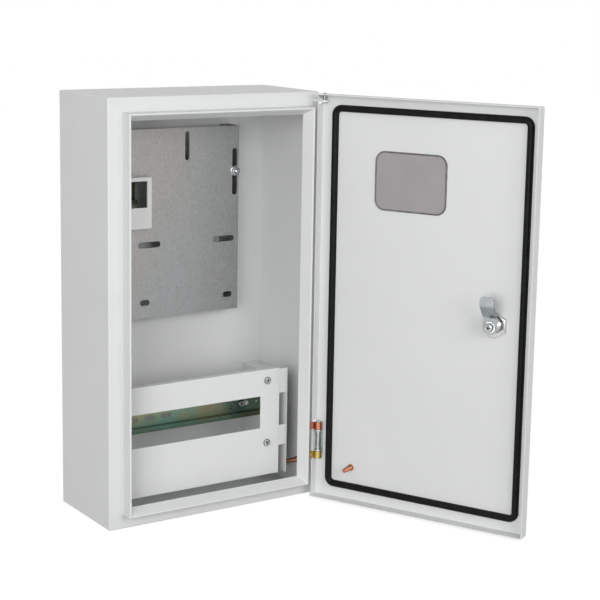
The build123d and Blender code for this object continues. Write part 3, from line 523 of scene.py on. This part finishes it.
def passivated_finish(look):
    """Yellow passivation over zinc: dark green, straw and brown tints that drift along the rail."""
    colour = tuple(look.passivated_colour)
    finish = Finish("passivated", colour, 0.33, 1.0)
    tint = finish.noise(30.0, 3.0, finish.stretched((0.55, 1.0, 1.6)), 0.6)
    tints = [(0.34, (0.9, 1.35, 1.25)), (0.46, (1.0, 1.2, 1.0)),
             (0.56, (1.25, 1.2, 0.85)), (0.68, (1.3, 0.95, 0.7))]
    tone = finish.between(tint, [(at, tuple(np.multiply(colour, share))) for at, share in tints])
    # Painted shade: darker where other surfaces lie within 3 mm, as in the rail's channel and slots
    finish.set("Base Color", finish.painted_crevice_shade(tone, 0.003, 0.2))
    finish.set("Roughness", finish.range(finish.noise(300.0), 0.3, 0.7, 0.26, 0.42))
    finish.set("Normal", finish.bump(finish.noise(700.0), 0.00002, 0.4))
    return finish.material


def plated_finish(name, colour, roughness, grain=500.0):
    """A plated or cast metal: small changes in tone and gloss at the grain's scale."""
    finish = Finish(name, colour, roughness, 1.0)
    tone = finish.noise(grain * 0.4, 3.0)
    worn = finish.varied(tone, 0.3, 0.7, colour, 0.78, 1.1)
    # Painted shade: darker where other surfaces lie close, as in recesses and seats
    finish.set("Base Color", finish.painted_crevice_shade(worn, 0.0011, 0.25))
    finish.set("Roughness", finish.range(tone, 0.3, 0.7, roughness * 0.8, roughness * 1.25))
    finish.set("Normal", finish.bump(finish.noise(grain), 0.00002, 0.4))
    return finish.material


def rubber_finish(name, colour):
    """Rubber: closed skin with tiny pores and a dull, slightly dusty face."""
    finish = Finish(name, colour, 0.32)
    dust = finish.noise(120.0, 4.0)
    finish.set("Base Color", finish.varied(dust, 0.35, 0.75, colour, 0.8, 1.5))
    pores = finish.cells(900.0, "SMOOTH_F1")["Distance"]
    finish.set("Normal", finish.bump(pores, 0.00012, 0.35))
    finish.set("Specular IOR Level", 0.08)
    return finish.material


def plastic_finish(look):
    """White moulded plastic: a satin face with a very fine spark texture."""
    colour = tuple(look.plastic_colour)
    finish = Finish("white_plastic", colour, 0.38)
    finish.set("Roughness", finish.range(finish.noise(250.0), 0.3, 0.7, 0.33, 0.45))
    finish.set("Base Color", finish.varied(finish.noise(20.0), 0.3, 0.7, colour, 0.98, 1.0))
    finish.set("Normal", finish.bump(finish.noise(2200.0), 0.00002, 0.4))
    return finish.material


def pane_finish(look):
    """Grey-cast clear sheet, a little hazed, so that what lies behind shows only as a tone."""
    colour = tuple(look.pane_colour)
    finish = Finish("clear_pane", colour, 0.35)
    haze = finish.noise(35.0, 3.0)
    finish.set("Base Color", finish.varied(haze, 0.3, 0.7, colour, 0.96, 1.04))
    finish.set("Roughness", finish.range(haze, 0.3, 0.7, 0.3, 0.42))
    finish.set("Transmission Weight", 0.1)
    finish.set("IOR", 1.5)
    return finish.material


def make_finishes(look):
    """Every finish by the name of its material slot."""
    return {
        "body_paint": paint_finish(look),
        "galvanised": galvanised_finish(look),
        "zinc": zinc_finish(look, "zinc", tuple(look.zinc_colour)),
        "dull_zinc": zinc_finish(look, "dull_zinc", tuple(look.dark_zinc_colour)),
        "passivated": passivated_finish(look),
        "nickel": plated_finish("nickel", tuple(look.nickel_colour), 0.22),
        "copper": plated_finish("copper", tuple(look.copper_colour), 0.36),
        "brass": plated_finish("brass", tuple(look.brass_colour), 0.32),
        "white_plastic": plastic_finish(look),
        "seal_rubber": rubber_finish("seal_rubber", tuple(look.rubber_colour)),
        "profile_rubber": rubber_finish("profile_rubber", tuple(look.profile_colour)),
        "clear_pane": pane_finish(look),
    }


# Nodes of the upper hinge whose zinc is painted over or dull
OWN_FINISH = {"hinge_tongue": "body_paint", "hinge_pin_high": "dull_zinc"}


def place_piece(name, grid, place, body, slot, node=None, closed=(True, True), sharp=35.0,
                finish=None):
    """A piece from a grid at its place, which stands in for a node if one is named.

    It takes the finish of its slot, or another finish if one is named.
    """
    piece = grid_object(name, moved(grid, place), body, *closed, sharp)
    piece.data.materials.append(bpy.data.materials[finish or slot])
    if node:
        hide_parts(node)
    return piece


def box_middle(low, high):
    """The middle of a box and half its sizes."""
    return (low + high) / 2, (high - low) / 2


# Settings

def colour_setting(name, description, default):
    """A colour that a user can change."""
    return FloatVectorProperty(name=name, description=description, default=default,
                               subtype="COLOR", min=0, max=1)


def length_setting(name, description, default):
    """A length that a user can change, in metres."""
    return FloatProperty(name=name, description=description, default=default,
                         subtype="DISTANCE", unit="LENGTH", precision=5)


class FinishSettings(bpy.types.PropertyGroup):
    paint_colour: colour_setting("Paint", "Colour of the powder coat", (0.735, 0.745, 0.74))
    paint_roughness: FloatProperty(
        name="Paint roughness", description="Roughness of the powder coat",
        default=0.42, min=0.1, max=1.0, subtype="FACTOR")
    grain_size: length_setting("Grain size", "Width of one grain of the powder coat", 0.0009)
    grain_height: length_setting(
        "Grain height", "Height of the grain of the powder coat", 0.00002)
    peel_size: length_setting("Peel size", "Width of one swell of the orange peel", 0.006)
    peel_height: length_setting("Peel height", "Height of the orange peel", 0.00005)
    galvanised_colour: colour_setting(
        "Galvanised", "Colour of the galvanised sheet", (0.325, 0.325, 0.325))
    spangle_size: length_setting(
        "Spangle size", "Width of one zinc crystal on the galvanised sheet", 0.0035)
    zinc_colour: colour_setting("Zinc", "Colour of the bright zinc plating", (0.54, 0.57, 0.575))
    # Dull zinc of the hinge pin, and the mix target of screw heads' painted shade and the darker cam
    dark_zinc_colour: colour_setting(
        "Rubbed zinc", "Colour of the plating where it is rubbed dark", (0.19, 0.21, 0.215))
    passivated_colour: colour_setting(
        "Passivated", "Colour of the passivated zinc", (0.17, 0.195, 0.17))
    copper_colour: colour_setting("Copper", "Colour of the copper plating", (0.50, 0.20, 0.125))
    brass_colour: colour_setting("Brass", "Colour of the brass", (0.56, 0.43, 0.15))
    nickel_colour: colour_setting("Nickel", "Colour of the nickel plating", (0.62, 0.62, 0.61))
    plastic_colour: colour_setting(
        "Plastic", "Colour of the white moulded plastic", (0.85, 0.86, 0.85))
    rubber_colour: colour_setting("Rubber", "Colour of the foamed seal", (0.010, 0.009, 0.010))
    profile_colour: colour_setting(
        "Profile", "Colour of the window's rubber profile", (0.16, 0.155, 0.155))
    pane_colour: colour_setting("Pane", "Colour of the window pane", (0.37, 0.35, 0.36))


class SealSettings(bpy.types.PropertyGroup):
    band_width: length_setting("Band width", "Width of the door's foamed seal", 0.0090)
    corner: length_setting("Corner", "Outer corner radius of the door's foamed seal", 0.013)
    profile_width: length_setting(
        "Profile width", "Width of the window's rubber profile", 0.0024)
    swell: FloatProperty(
        name="Swell", description="How far the foam's height varies, as a share of it",
        default=0.025, min=0.0, max=0.2, subtype="FACTOR")


class FastenerSettings(bpy.types.PropertyGroup):
    stud_pitch: length_setting("Stud pitch", "Thread pitch of the studs and plate bolt", 0.001)
    screw_pitch: length_setting("Screw pitch", "Thread pitch of the small screws", 0.0007)
    barrel_pitch: length_setting("Barrel pitch", "Thread pitch of the lock's barrel", 0.001)


class StageSettings(bpy.types.PropertyGroup):
    floor_colour: colour_setting("Floor", "Colour of the floor", (0.34, 0.34, 0.34))
    front_power: FloatProperty(
        name="Front power", description="Power of the light in front of the box",
        default=23.0, min=0, unit="POWER")
    left_power: FloatProperty(
        name="Left power", description="Power of the light on the left",
        default=42.0, min=0, unit="POWER")
    sky: FloatProperty(
        name="Sky", description="Strength of the even light from all round",
        default=0.47, min=0)


def settings(context):
    """The four groups of settings of the scene."""
    return [getattr(context.scene, name) for name in GROUPS]


# Pieces

class ENCLOSURE_OT_finishes(bpy.types.Operator):
    """Makes the finishes and gives each construction node the one of its slot"""

    bl_idname = "enclosure.finishes"
    bl_label = "Finishes"

    def execute(self, context):
        # The plain colours that come with the frame make room for the finishes of the same names
        for plain in list(bpy.data.materials):
            bpy.data.materials.remove(plain)
        make_finishes(settings(context)[0])
        for part in frame["record"]["subparts"]:
            finish = OWN_FINISH.get(part["node"], part["material_slot"])
            for slot in frame["nodes"][part["node"]].material_slots:
                slot.material = bpy.data.materials[finish]
        return {"FINISHED"}


class ENCLOSURE_OT_door_seal(bpy.types.Operator):
    """Lays the foamed seal round the inside of the door"""

    bl_idname = "enclosure.door_seal"
    bl_label = "Door seal"

    def execute(self, context):
        seal = settings(context)[1]
        low, high = node_box("door_gasket", DOOR_TURN)
        middle, half = box_middle(low, high)
        width = seal.band_width
        inset = half - width / 2
        loop, outward = rounded_loop(inset[0], inset[2], seal.corner - width / 2, 14, 60)
        # The section is an arch: half the width and the height times powers of cosine and sine
        turn = np.linspace(0, math.pi, 17)
        across = width / 2 * np.sign(np.cos(turn)) * np.abs(np.cos(turn)) ** 0.85
        rise = (high[1] - low[1]) * np.sin(turn) ** 0.7
        section = np.stack([across, rise], -1)
        grid = band_grid(loop, outward, section, (middle[0], low[1], middle[2]))
        # The foam's height varies along the band by the product of two waves
        travel = np.cumsum(np.hypot(*np.diff(loop, axis=0, prepend=loop[-1:]).T))
        wave = 1 - seal.swell * (0.5 + 0.5 * np.sin(travel * 71) * np.cos(travel * 29))
        grid[..., 1] = low[1] + (grid[..., 1] - low[1]) * wave[:, None]
        place_piece("door_gasket_foam", grid, DOOR_TURN, "door", "seal_rubber", "door_gasket",
                    sharp=80)
        return {"FINISHED"}


class ENCLOSURE_OT_window_seal(bpy.types.Operator):
    """Lays the grey profile that grips the window's edge and holds the pane"""

    bl_idname = "enclosure.window_seal"
    bl_label = "Window seal"

    def execute(self, context):
        middle, half = box_middle(*node_box("window_seal", DOOR_TURN))
        width = settings(context)[1].profile_width
        inset = half - width / 2
        loop, outward = rounded_loop(inset[0], inset[2], PROFILE_CORNER - width / 2, 14, 24)
        # The section is an oval, its half axes half the profile's width and half its depth
        turn = np.linspace(0, 2 * math.pi, 25)[:-1]
        across = width / 2 * np.cos(turn)
        rise = half[1] * np.sign(np.sin(turn)) * np.abs(np.sin(turn)) ** 0.7
        grid = band_grid(loop, outward, np.stack([across, rise], -1), middle)
        place_piece("window_seal_profile", grid, DOOR_TURN, "door", "seal_rubber", "window_seal",
                    sharp=80, finish="profile_rubber")
        return {"FINISHED"}


class ENCLOSURE_OT_lock(bpy.types.Operator):
    """Shapes the cam, its screw and washer, the clamping nut and the thread of the lock's barrel"""

    bl_idname = "enclosure.lock"
    bl_label = "Cam lock"

    def execute(self, context):
        fastener = settings(context)[2]
        self.nut()
        self.thread(fastener.barrel_pitch)
        self.cam()
        self.screw(fastener.screw_pitch)
        return {"FINISHED"}

    def nut(self):
        """The hexagonal nut that clamps the barrel to the door."""
        low, high = node_box("lock_nut", DOOR_TURN)
        middle = (low + high) / 2
        place = axis_place((middle[0], low[1], middle[2]), (0, 1, 0), DOOR_TURN)
        across = min(high[0] - low[0], high[2] - low[2])
        grid = nut_grid(across, high[1] - low[1], NUT_BORE)
        place_piece("lock_nut_bright", grid, place, "door", "nickel", "lock_nut", sharp=25)

    def thread(self, pitch):
        """The barrel's thread: at each angle and height, the smaller of a thread and two flats."""
        nut_low, nut_high = node_box("lock_nut", DOOR_TURN)
        low, high = node_box("lock_housing", DOOR_TURN)
        middle = (nut_low + nut_high) / 2
        columns = 120
        angle = ring_columns(columns)[None, :]
        count = int((high[1] - nut_high[1]) / pitch * ROWS_PER_THREAD)
        height = np.linspace(nut_high[1] - BARREL_IN_NUT, high[1], count)[:, None]
        wave = triangle_wave((height - high[1]) / pitch + angle / (2 * math.pi))
        flat_r = BARREL_FLAT / np.maximum(np.abs(np.sin(angle)), 0.3)
        r = np.minimum(BARREL_ROOT + (BARREL_CREST - BARREL_ROOT) * wave, flat_r)
        bore = np.full_like(angle, BARREL_BORE)
        inward, upward = BARREL_BEVEL
        rows = np.concatenate([bore, r, np.minimum(BARREL_ROOT - inward, flat_r), bore])
        end = height[-1:] + upward
        levels = np.repeat(np.concatenate([height[:1], height, end, end]), columns, 1)
        x = middle[0] + rows * np.cos(angle)
        z = middle[2] + rows * np.sin(angle)
        grid = np.stack([x, levels, z], -1)
        place_piece("lock_barrel_thread", grid, DOOR_TURN, "door", "nickel", sharp=30)

    def cam(self):
        """The cam's middle surface, thickened to its sheet.

        Across, x is a share of the outline's half width at that height. Along, the depth follows
        a ramp with soft ends: half of one plus the root of t squared plus e squared, less the root
        of (t less 1) squared plus e squared, times the cam's offset. The cam is drawn darker all
        over and darkest on the slope.
        """
        low, high = node_box("lock_cam", DOOR_TURN)
        half = (high[0] - low[0]) / 2
        middle = (low[0] + high[0]) / 2
        axis_z = low[2] + half
        length = high[2] - axis_z
        tip = CAM_TIP_RADIUS
        s = np.concatenate([-half * np.cos(np.linspace(0, math.pi / 2, 16)),
                            np.linspace(0, length - tip, 40)[1:],
                            length - tip + tip * np.sin(np.linspace(0, math.pi / 2, 12))[1:]])
        width = np.where(s < 0, np.sqrt(np.maximum(half ** 2 - s ** 2, 0)), half)
        over = np.maximum(s - (length - tip), 0)
        rounding = half - tip + np.sqrt(np.maximum(tip ** 2 - over ** 2, 0))
        width = np.where(over > 0, rounding, width)
        t = (s - CAM_SLOPE_START) / CAM_SLOPE_RUN
        soft = CAM_BEND_SOFTNESS
        share = 0.5 * (1 + np.sqrt(t ** 2 + soft ** 2) - np.sqrt((t - 1) ** 2 + soft ** 2))
        deep = high[1] - low[1] - CAM_SHEET
        u = np.linspace(-1, 1, 17)
        x = middle + width[:, None] * u[None, :]
        y = np.repeat((low[1] + CAM_SHEET / 2 + deep * share)[:, None], len(u), 1)
        z = np.repeat((axis_z + s)[:, None], len(u), 1)
        piece = place_piece("lock_cam_bent", np.stack([x, y, z], -1), DOOR_TURN, "lock", "zinc",
                            "lock_cam", (False, False), 60)
        slope_middle = axis_z + CAM_SLOPE_START + CAM_SLOPE_RUN / 2
        mark_dimmed(piece, STILL, lambda points: CAM_DARKER + CAM_SLOPE_DARKER * np.clip(
            (CAM_SLOPE_RUN / 2 - np.abs(points[:, 2] - slope_middle)) / CAM_SLOPE_FADE, 0, 1))
        wall = piece.modifiers.new("sheet", "SOLIDIFY")
        wall.thickness = CAM_SHEET
        wall.offset = 0.0
        wall.use_even_offset = True
        edge = piece.modifiers.new("edge", "BEVEL")
        edge.width = CAM_EDGE
        edge.segments = 3
        edge.limit_method = "ANGLE"
        edge.angle_limit = math.radians(50)

    def screw(self, pitch):
        """The toothed washer and the cross-head screw that hold the cam."""
        low, high = node_box("cam_washer", DOOR_TURN)
        screw_low, screw_high = node_box("cam_screw", DOOR_TURN)
        middle = (low + high) / 2
        seat = axis_place((middle[0], low[1], middle[2]), (0, 1, 0), DOOR_TURN)
        outer = (high[0] - low[0]) / 2
        grid = washer_grid(outer, CAM_WASHER_BORE, high[1] - low[1], 108, CAM_WASHER_TEETH)
        place_piece("cam_washer_toothed", grid, seat, "lock", "zinc", "cam_washer", sharp=40)
        top = axis_place((middle[0], high[1], middle[2]), (0, 1, 0), DOOR_TURN)
        head_r = (screw_high[2] - screw_low[2]) / 2
        head = screw_high[1] - high[1]
        grid = screw_grid(head_r, head, CAM_SCREW_RADIUS, high[1] - screw_low[1], pitch, 96)
        piece = place_piece("cam_screw_cross", grid, top, "lock", "zinc", "cam_screw",
                            (False, True))
        # Painted shade on the head's rim and in its cross recess
        mark_dimmed(piece, top, screw_shade(head_r, head))


class ENCLOSURE_OT_screws(bpy.types.Operator):
    """Makes the screws of the cover panel and of the module rail"""

    bl_idname = "enclosure.screws"
    bl_label = "Panel and rail screws"

    def execute(self, context):
        pitch = settings(context)[2].screw_pitch
        self.set_of("panel_screws", PANEL_SCREW, pitch, (2, 2))
        self.set_of("rail_screws", RAIL_SCREW, pitch, (2, 1))
        return {"FINISHED"}

    def set_of(self, node, sizes, pitch, counts):
        """Screws at the corners of the node's box, each a copy of one grid."""
        low, high = node_box(node)
        head_r, head, shank_r = sizes
        seat_y = low[1] + head
        base = screw_grid(head_r, head, shank_r, high[1] - seat_y, pitch)
        across = np.linspace(low[0] + head_r, high[0] - head_r, counts[0])
        upward = np.linspace(low[2] + head_r, high[2] - head_r, counts[1])
        for column, x in enumerate(across):
            for row, z in enumerate(upward):
                # Each screw is turned to an angle of its own
                spin = Matrix.Rotation(0.7 * column + 1.9 * row + 0.3, 4, "Z")
                place = axis_place((x, seat_y, z), (0, -1, 0)) @ spin
                name = f"{node[:-1]}_{column}{row}"
                piece = place_piece(name, base, place, "box", "zinc", node, (False, True))
                # Painted shade on each head's rim and in its cross recess
                mark_dimmed(piece, place, screw_shade(head_r, head))


class ENCLOSURE_OT_studs(bpy.types.Operator):
    """Makes the two earth studs and the bolt, washer and nut of the meter plate"""

    bl_idname = "enclosure.studs"
    bl_label = "Studs and plate bolt"

    def execute(self, context):
        pitch = settings(context)[2].stud_pitch
        low, high = node_box("body_earth_stud")
        middle = (low + high) / 2
        base_r = (high[2] - low[2]) / 2
        grid = stud_grid(STUD_RADIUS, high[0] - low[0], pitch, base_r, STUD_BASE)
        place = axis_place((high[0], middle[1], middle[2]), (-1, 0, 0))
        place_piece("body_earth_stud_thread", grid, place, "box", "copper", "body_earth_stud",
                    (False, True))

        low, high = node_box("door_earth_stud", DOOR_TURN)
        middle = (low + high) / 2
        place = axis_place((middle[0], low[1], middle[2]), (0, 1, 0), DOOR_TURN)
        place_piece("door_earth_stud_thread", grid, place, "door", "copper", "door_earth_stud",
                    (False, True))

        self.plate_bolt(pitch)
        return {"FINISHED"}

    def plate_bolt(self, pitch):
        """The bolt through the meter plate's slot, with its head, washer and nut on one axis."""
        low, high = node_box("plate_bolt")
        nut_low, nut_high = node_box("plate_nut")
        washer_low, washer_high = node_box("plate_washer")
        x, _, z = (washer_low + washer_high) / 2
        back = high[1] - BOLT_HEAD
        turn = Matrix.Rotation(math.radians(30), 4, "Z")

        shank = stud_grid(STUD_RADIUS, back - low[1], pitch)
        place_piece("plate_bolt_thread", shank, axis_place((x, back, z), (0, -1, 0)),
                    "box", "zinc", "plate_bolt", (False, True))
        head = nut_grid(BOLT_ACROSS, BOLT_HEAD, BOLT_HEAD_DIMPLE)
        place_piece("plate_bolt_head", head, axis_place((x, back, z), (0, 1, 0)) @ turn,
                    "box", "zinc", "plate_bolt", sharp=25)
        outer = (washer_high[0] - washer_low[0]) / 2
        washer = washer_grid(outer, PLATE_WASHER_BORE, washer_high[1] - washer_low[1])
        place_piece("plate_washer_round", washer, axis_place((x, washer_high[1], z), (0, -1, 0)),
                    "box", "zinc", "plate_washer", sharp=40)
        nut = nut_grid(nut_high[0] - nut_low[0], nut_high[1] - nut_low[1], PLATE_NUT_BORE)
        place_piece("plate_nut_hexagon", nut, axis_place((x, nut_high[1], z), (0, -1, 0)) @ turn,
                    "box", "zinc", "plate_nut", sharp=25)


# Stage

# The camera stands where the photograph was taken from: its place is in metres from the middle
# of the back's lower edge, its angles are in degrees and its lens is in pixels of the image
CAMERA_AT = Vector((-1.01987, -1.85551, 0.69408))
CAMERA_TURN = -33.768
CAMERA_RISE = 10.085
CAMERA_ROLL = 1.008
IMAGE_WIDTH = 600
FOCAL_PIXELS = 1575.9
MIDDLE_PIXEL_Y = 260.0
SENSOR = 36.0


class ENCLOSURE_OT_stage(bpy.types.Operator):
    """Sets the floor, the lights, the white surroundings and the camera"""

    bl_idname = "enclosure.stage"
    bl_label = "Stage"

    def execute(self, context):
        stage = settings(context)[3]
        self.floor(stage)
        self.world(context, stage)
        self.light("front_light", FRONT_LIGHT_AT, FRONT_LIGHT_SIZE, stage.front_power)
        self.light("left_light", LEFT_LIGHT_AT, LEFT_LIGHT_SIZE, stage.left_power)
        self.camera(context)
        context.scene.view_settings.view_transform = "Standard"
        return {"FINISHED"}

    def floor(self, stage):
        """A flat square under the foot, white where nothing shades it."""
        foot = node_box("body_shell")[0][2]
        signs = ((-1, -1), (1, -1), (1, 1), (-1, 1))
        corners = [(x * FLOOR_HALF, y * FLOOR_HALF, foot) for x, y in signs]
        mesh = bpy.data.meshes.new("floor")
        mesh.from_pydata(corners, [], [(0, 1, 2, 3)])
        floor = bpy.data.objects.new("floor", mesh)
        bpy.context.scene.collection.objects.link(floor)
        colour = tuple(stage.floor_colour)
        finish = Finish("floor_paper", colour, 0.9)
        finish.set("Base Color", finish.varied(finish.noise(3.0), 0.3, 0.7, colour, 0.99, 1.0))
        path = finish.node("ShaderNodeLightPath").outputs
        seen = finish.sum_of(path["Is Camera Ray"], path["Is Glossy Ray"], "MAXIMUM")
        seen = finish.sum_of(seen, path["Is Transmission Ray"], "MAXIMUM")
        finish.set("Emission Color", (1, 1, 1, 1))
        finish.set("Emission Strength", finish.sum_of(seen, FLOOR_LIFT, "MULTIPLY"))
        floor.data.materials.append(finish.material)
        floor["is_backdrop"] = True

    def world(self, context, stage):
        """White to the camera and to reflections, and an even grey light to everything else."""
        world = bpy.data.worlds.new("surroundings")
        world.use_nodes = True
        tree = world.node_tree
        back = tree.nodes["Background"]
        back.inputs["Color"].default_value = (1, 1, 1, 1)
        path = tree.nodes.new("ShaderNodeLightPath").outputs
        seen = path["Is Camera Ray"]
        for ray in ("Is Glossy Ray", "Is Transmission Ray"):
            either = tree.nodes.new("ShaderNodeMath")
            either.operation = "MAXIMUM"
            tree.links.new(seen, either.inputs[0])
            tree.links.new(path[ray], either.inputs[1])
            seen = either.outputs[0]
        level = tree.nodes.new("ShaderNodeMapRange")
        tree.links.new(seen, level.inputs["Value"])
        level.inputs["To Min"].default_value = stage.sky
        level.inputs["To Max"].default_value = 1.0
        tree.links.new(level.outputs[0], back.inputs["Strength"])
        context.scene.world = world

    def light(self, name, place, size, power):
        """A square lamp that faces the middle of the object."""
        data = bpy.data.lights.new(name, "AREA")
        data.shape = "SQUARE"
        data.size = size
        data.energy = power
        lamp = bpy.data.objects.new(name, data)
        lamp.location = place
        low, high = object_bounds()
        target = (low + high) / 2
        lamp.rotation_euler = (target - Vector(place)).to_track_quat("-Z", "Y").to_euler()
        bpy.context.scene.collection.objects.link(lamp)

    def camera(self, context):
        """A camera whose axes come from its turn about Z, its rise and its roll."""
        turn = math.radians(CAMERA_TURN)
        rise = math.radians(CAMERA_RISE)
        roll = math.radians(CAMERA_ROLL)
        ahead = math.cos(rise)
        back = Vector((math.sin(turn) * ahead, -math.cos(turn) * ahead, math.sin(rise)))
        level = Vector((math.cos(turn), math.sin(turn), 0))
        upright = back.cross(level)
        right = math.cos(roll) * level + math.sin(roll) * upright
        up = math.cos(roll) * upright - math.sin(roll) * level
        data = bpy.data.cameras.new("camera")
        data.sensor_width = SENSOR
        data.lens = FOCAL_PIXELS / IMAGE_WIDTH * SENSOR
        data.shift_y = -(IMAGE_WIDTH / 2 - MIDDLE_PIXEL_Y) / IMAGE_WIDTH
        camera = bpy.data.objects.new("camera", data)
        foot = Vector((0, 0, node_box("body_shell")[0][2]))
        axes = Matrix((right, up, back)).transposed().to_4x4()
        camera.matrix_world = Matrix.Translation(CAMERA_AT + foot) @ axes
        context.scene.collection.objects.link(camera)
        context.scene.camera = camera


class ENCLOSURE_PT_panel(bpy.types.Panel):
    """Lists the steps that dress the enclosure"""

    bl_idname = "ENCLOSURE_PT_panel"
    bl_label = "Enclosure"
    bl_space_type = "VIEW_3D"
    bl_region_type = "UI"
    bl_category = "Enclosure"

    def draw(self, context):
        for operator in OPERATORS:
            self.layout.operator(operator.bl_idname)
        for group in settings(context):
            for name in group.__annotations__:
                self.layout.prop(group, name)


GROUPS = {
    "enclosure_finish": FinishSettings,
    "enclosure_seal": SealSettings,
    "enclosure_fastener": FastenerSettings,
    "enclosure_stage": StageSettings,
}
OPERATORS = (
    ENCLOSURE_OT_finishes,
    ENCLOSURE_OT_door_seal,
    ENCLOSURE_OT_window_seal,
    ENCLOSURE_OT_lock,
    ENCLOSURE_OT_screws,
    ENCLOSURE_OT_studs,
    ENCLOSURE_OT_stage,
)


def register():
    for kind in (*GROUPS.values(), *OPERATORS, ENCLOSURE_PT_panel):
        bpy.utils.register_class(kind)
    for name, group in GROUPS.items():
        setattr(bpy.types.Scene, name, PointerProperty(type=group))


def unregister():
    for name in GROUPS:
        delattr(bpy.types.Scene, name)
    for kind in (ENCLOSURE_PT_panel, *reversed(OPERATORS), *GROUPS.values()):
        bpy.utils.unregister_class(kind)


def main():
    """Dresses the frame step by step."""
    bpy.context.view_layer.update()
    register()
    for operator in OPERATORS:
        group, name = operator.bl_idname.split(".")
        getattr(getattr(bpy.ops, group), name)()


if __name__ == "__main__":
    main()
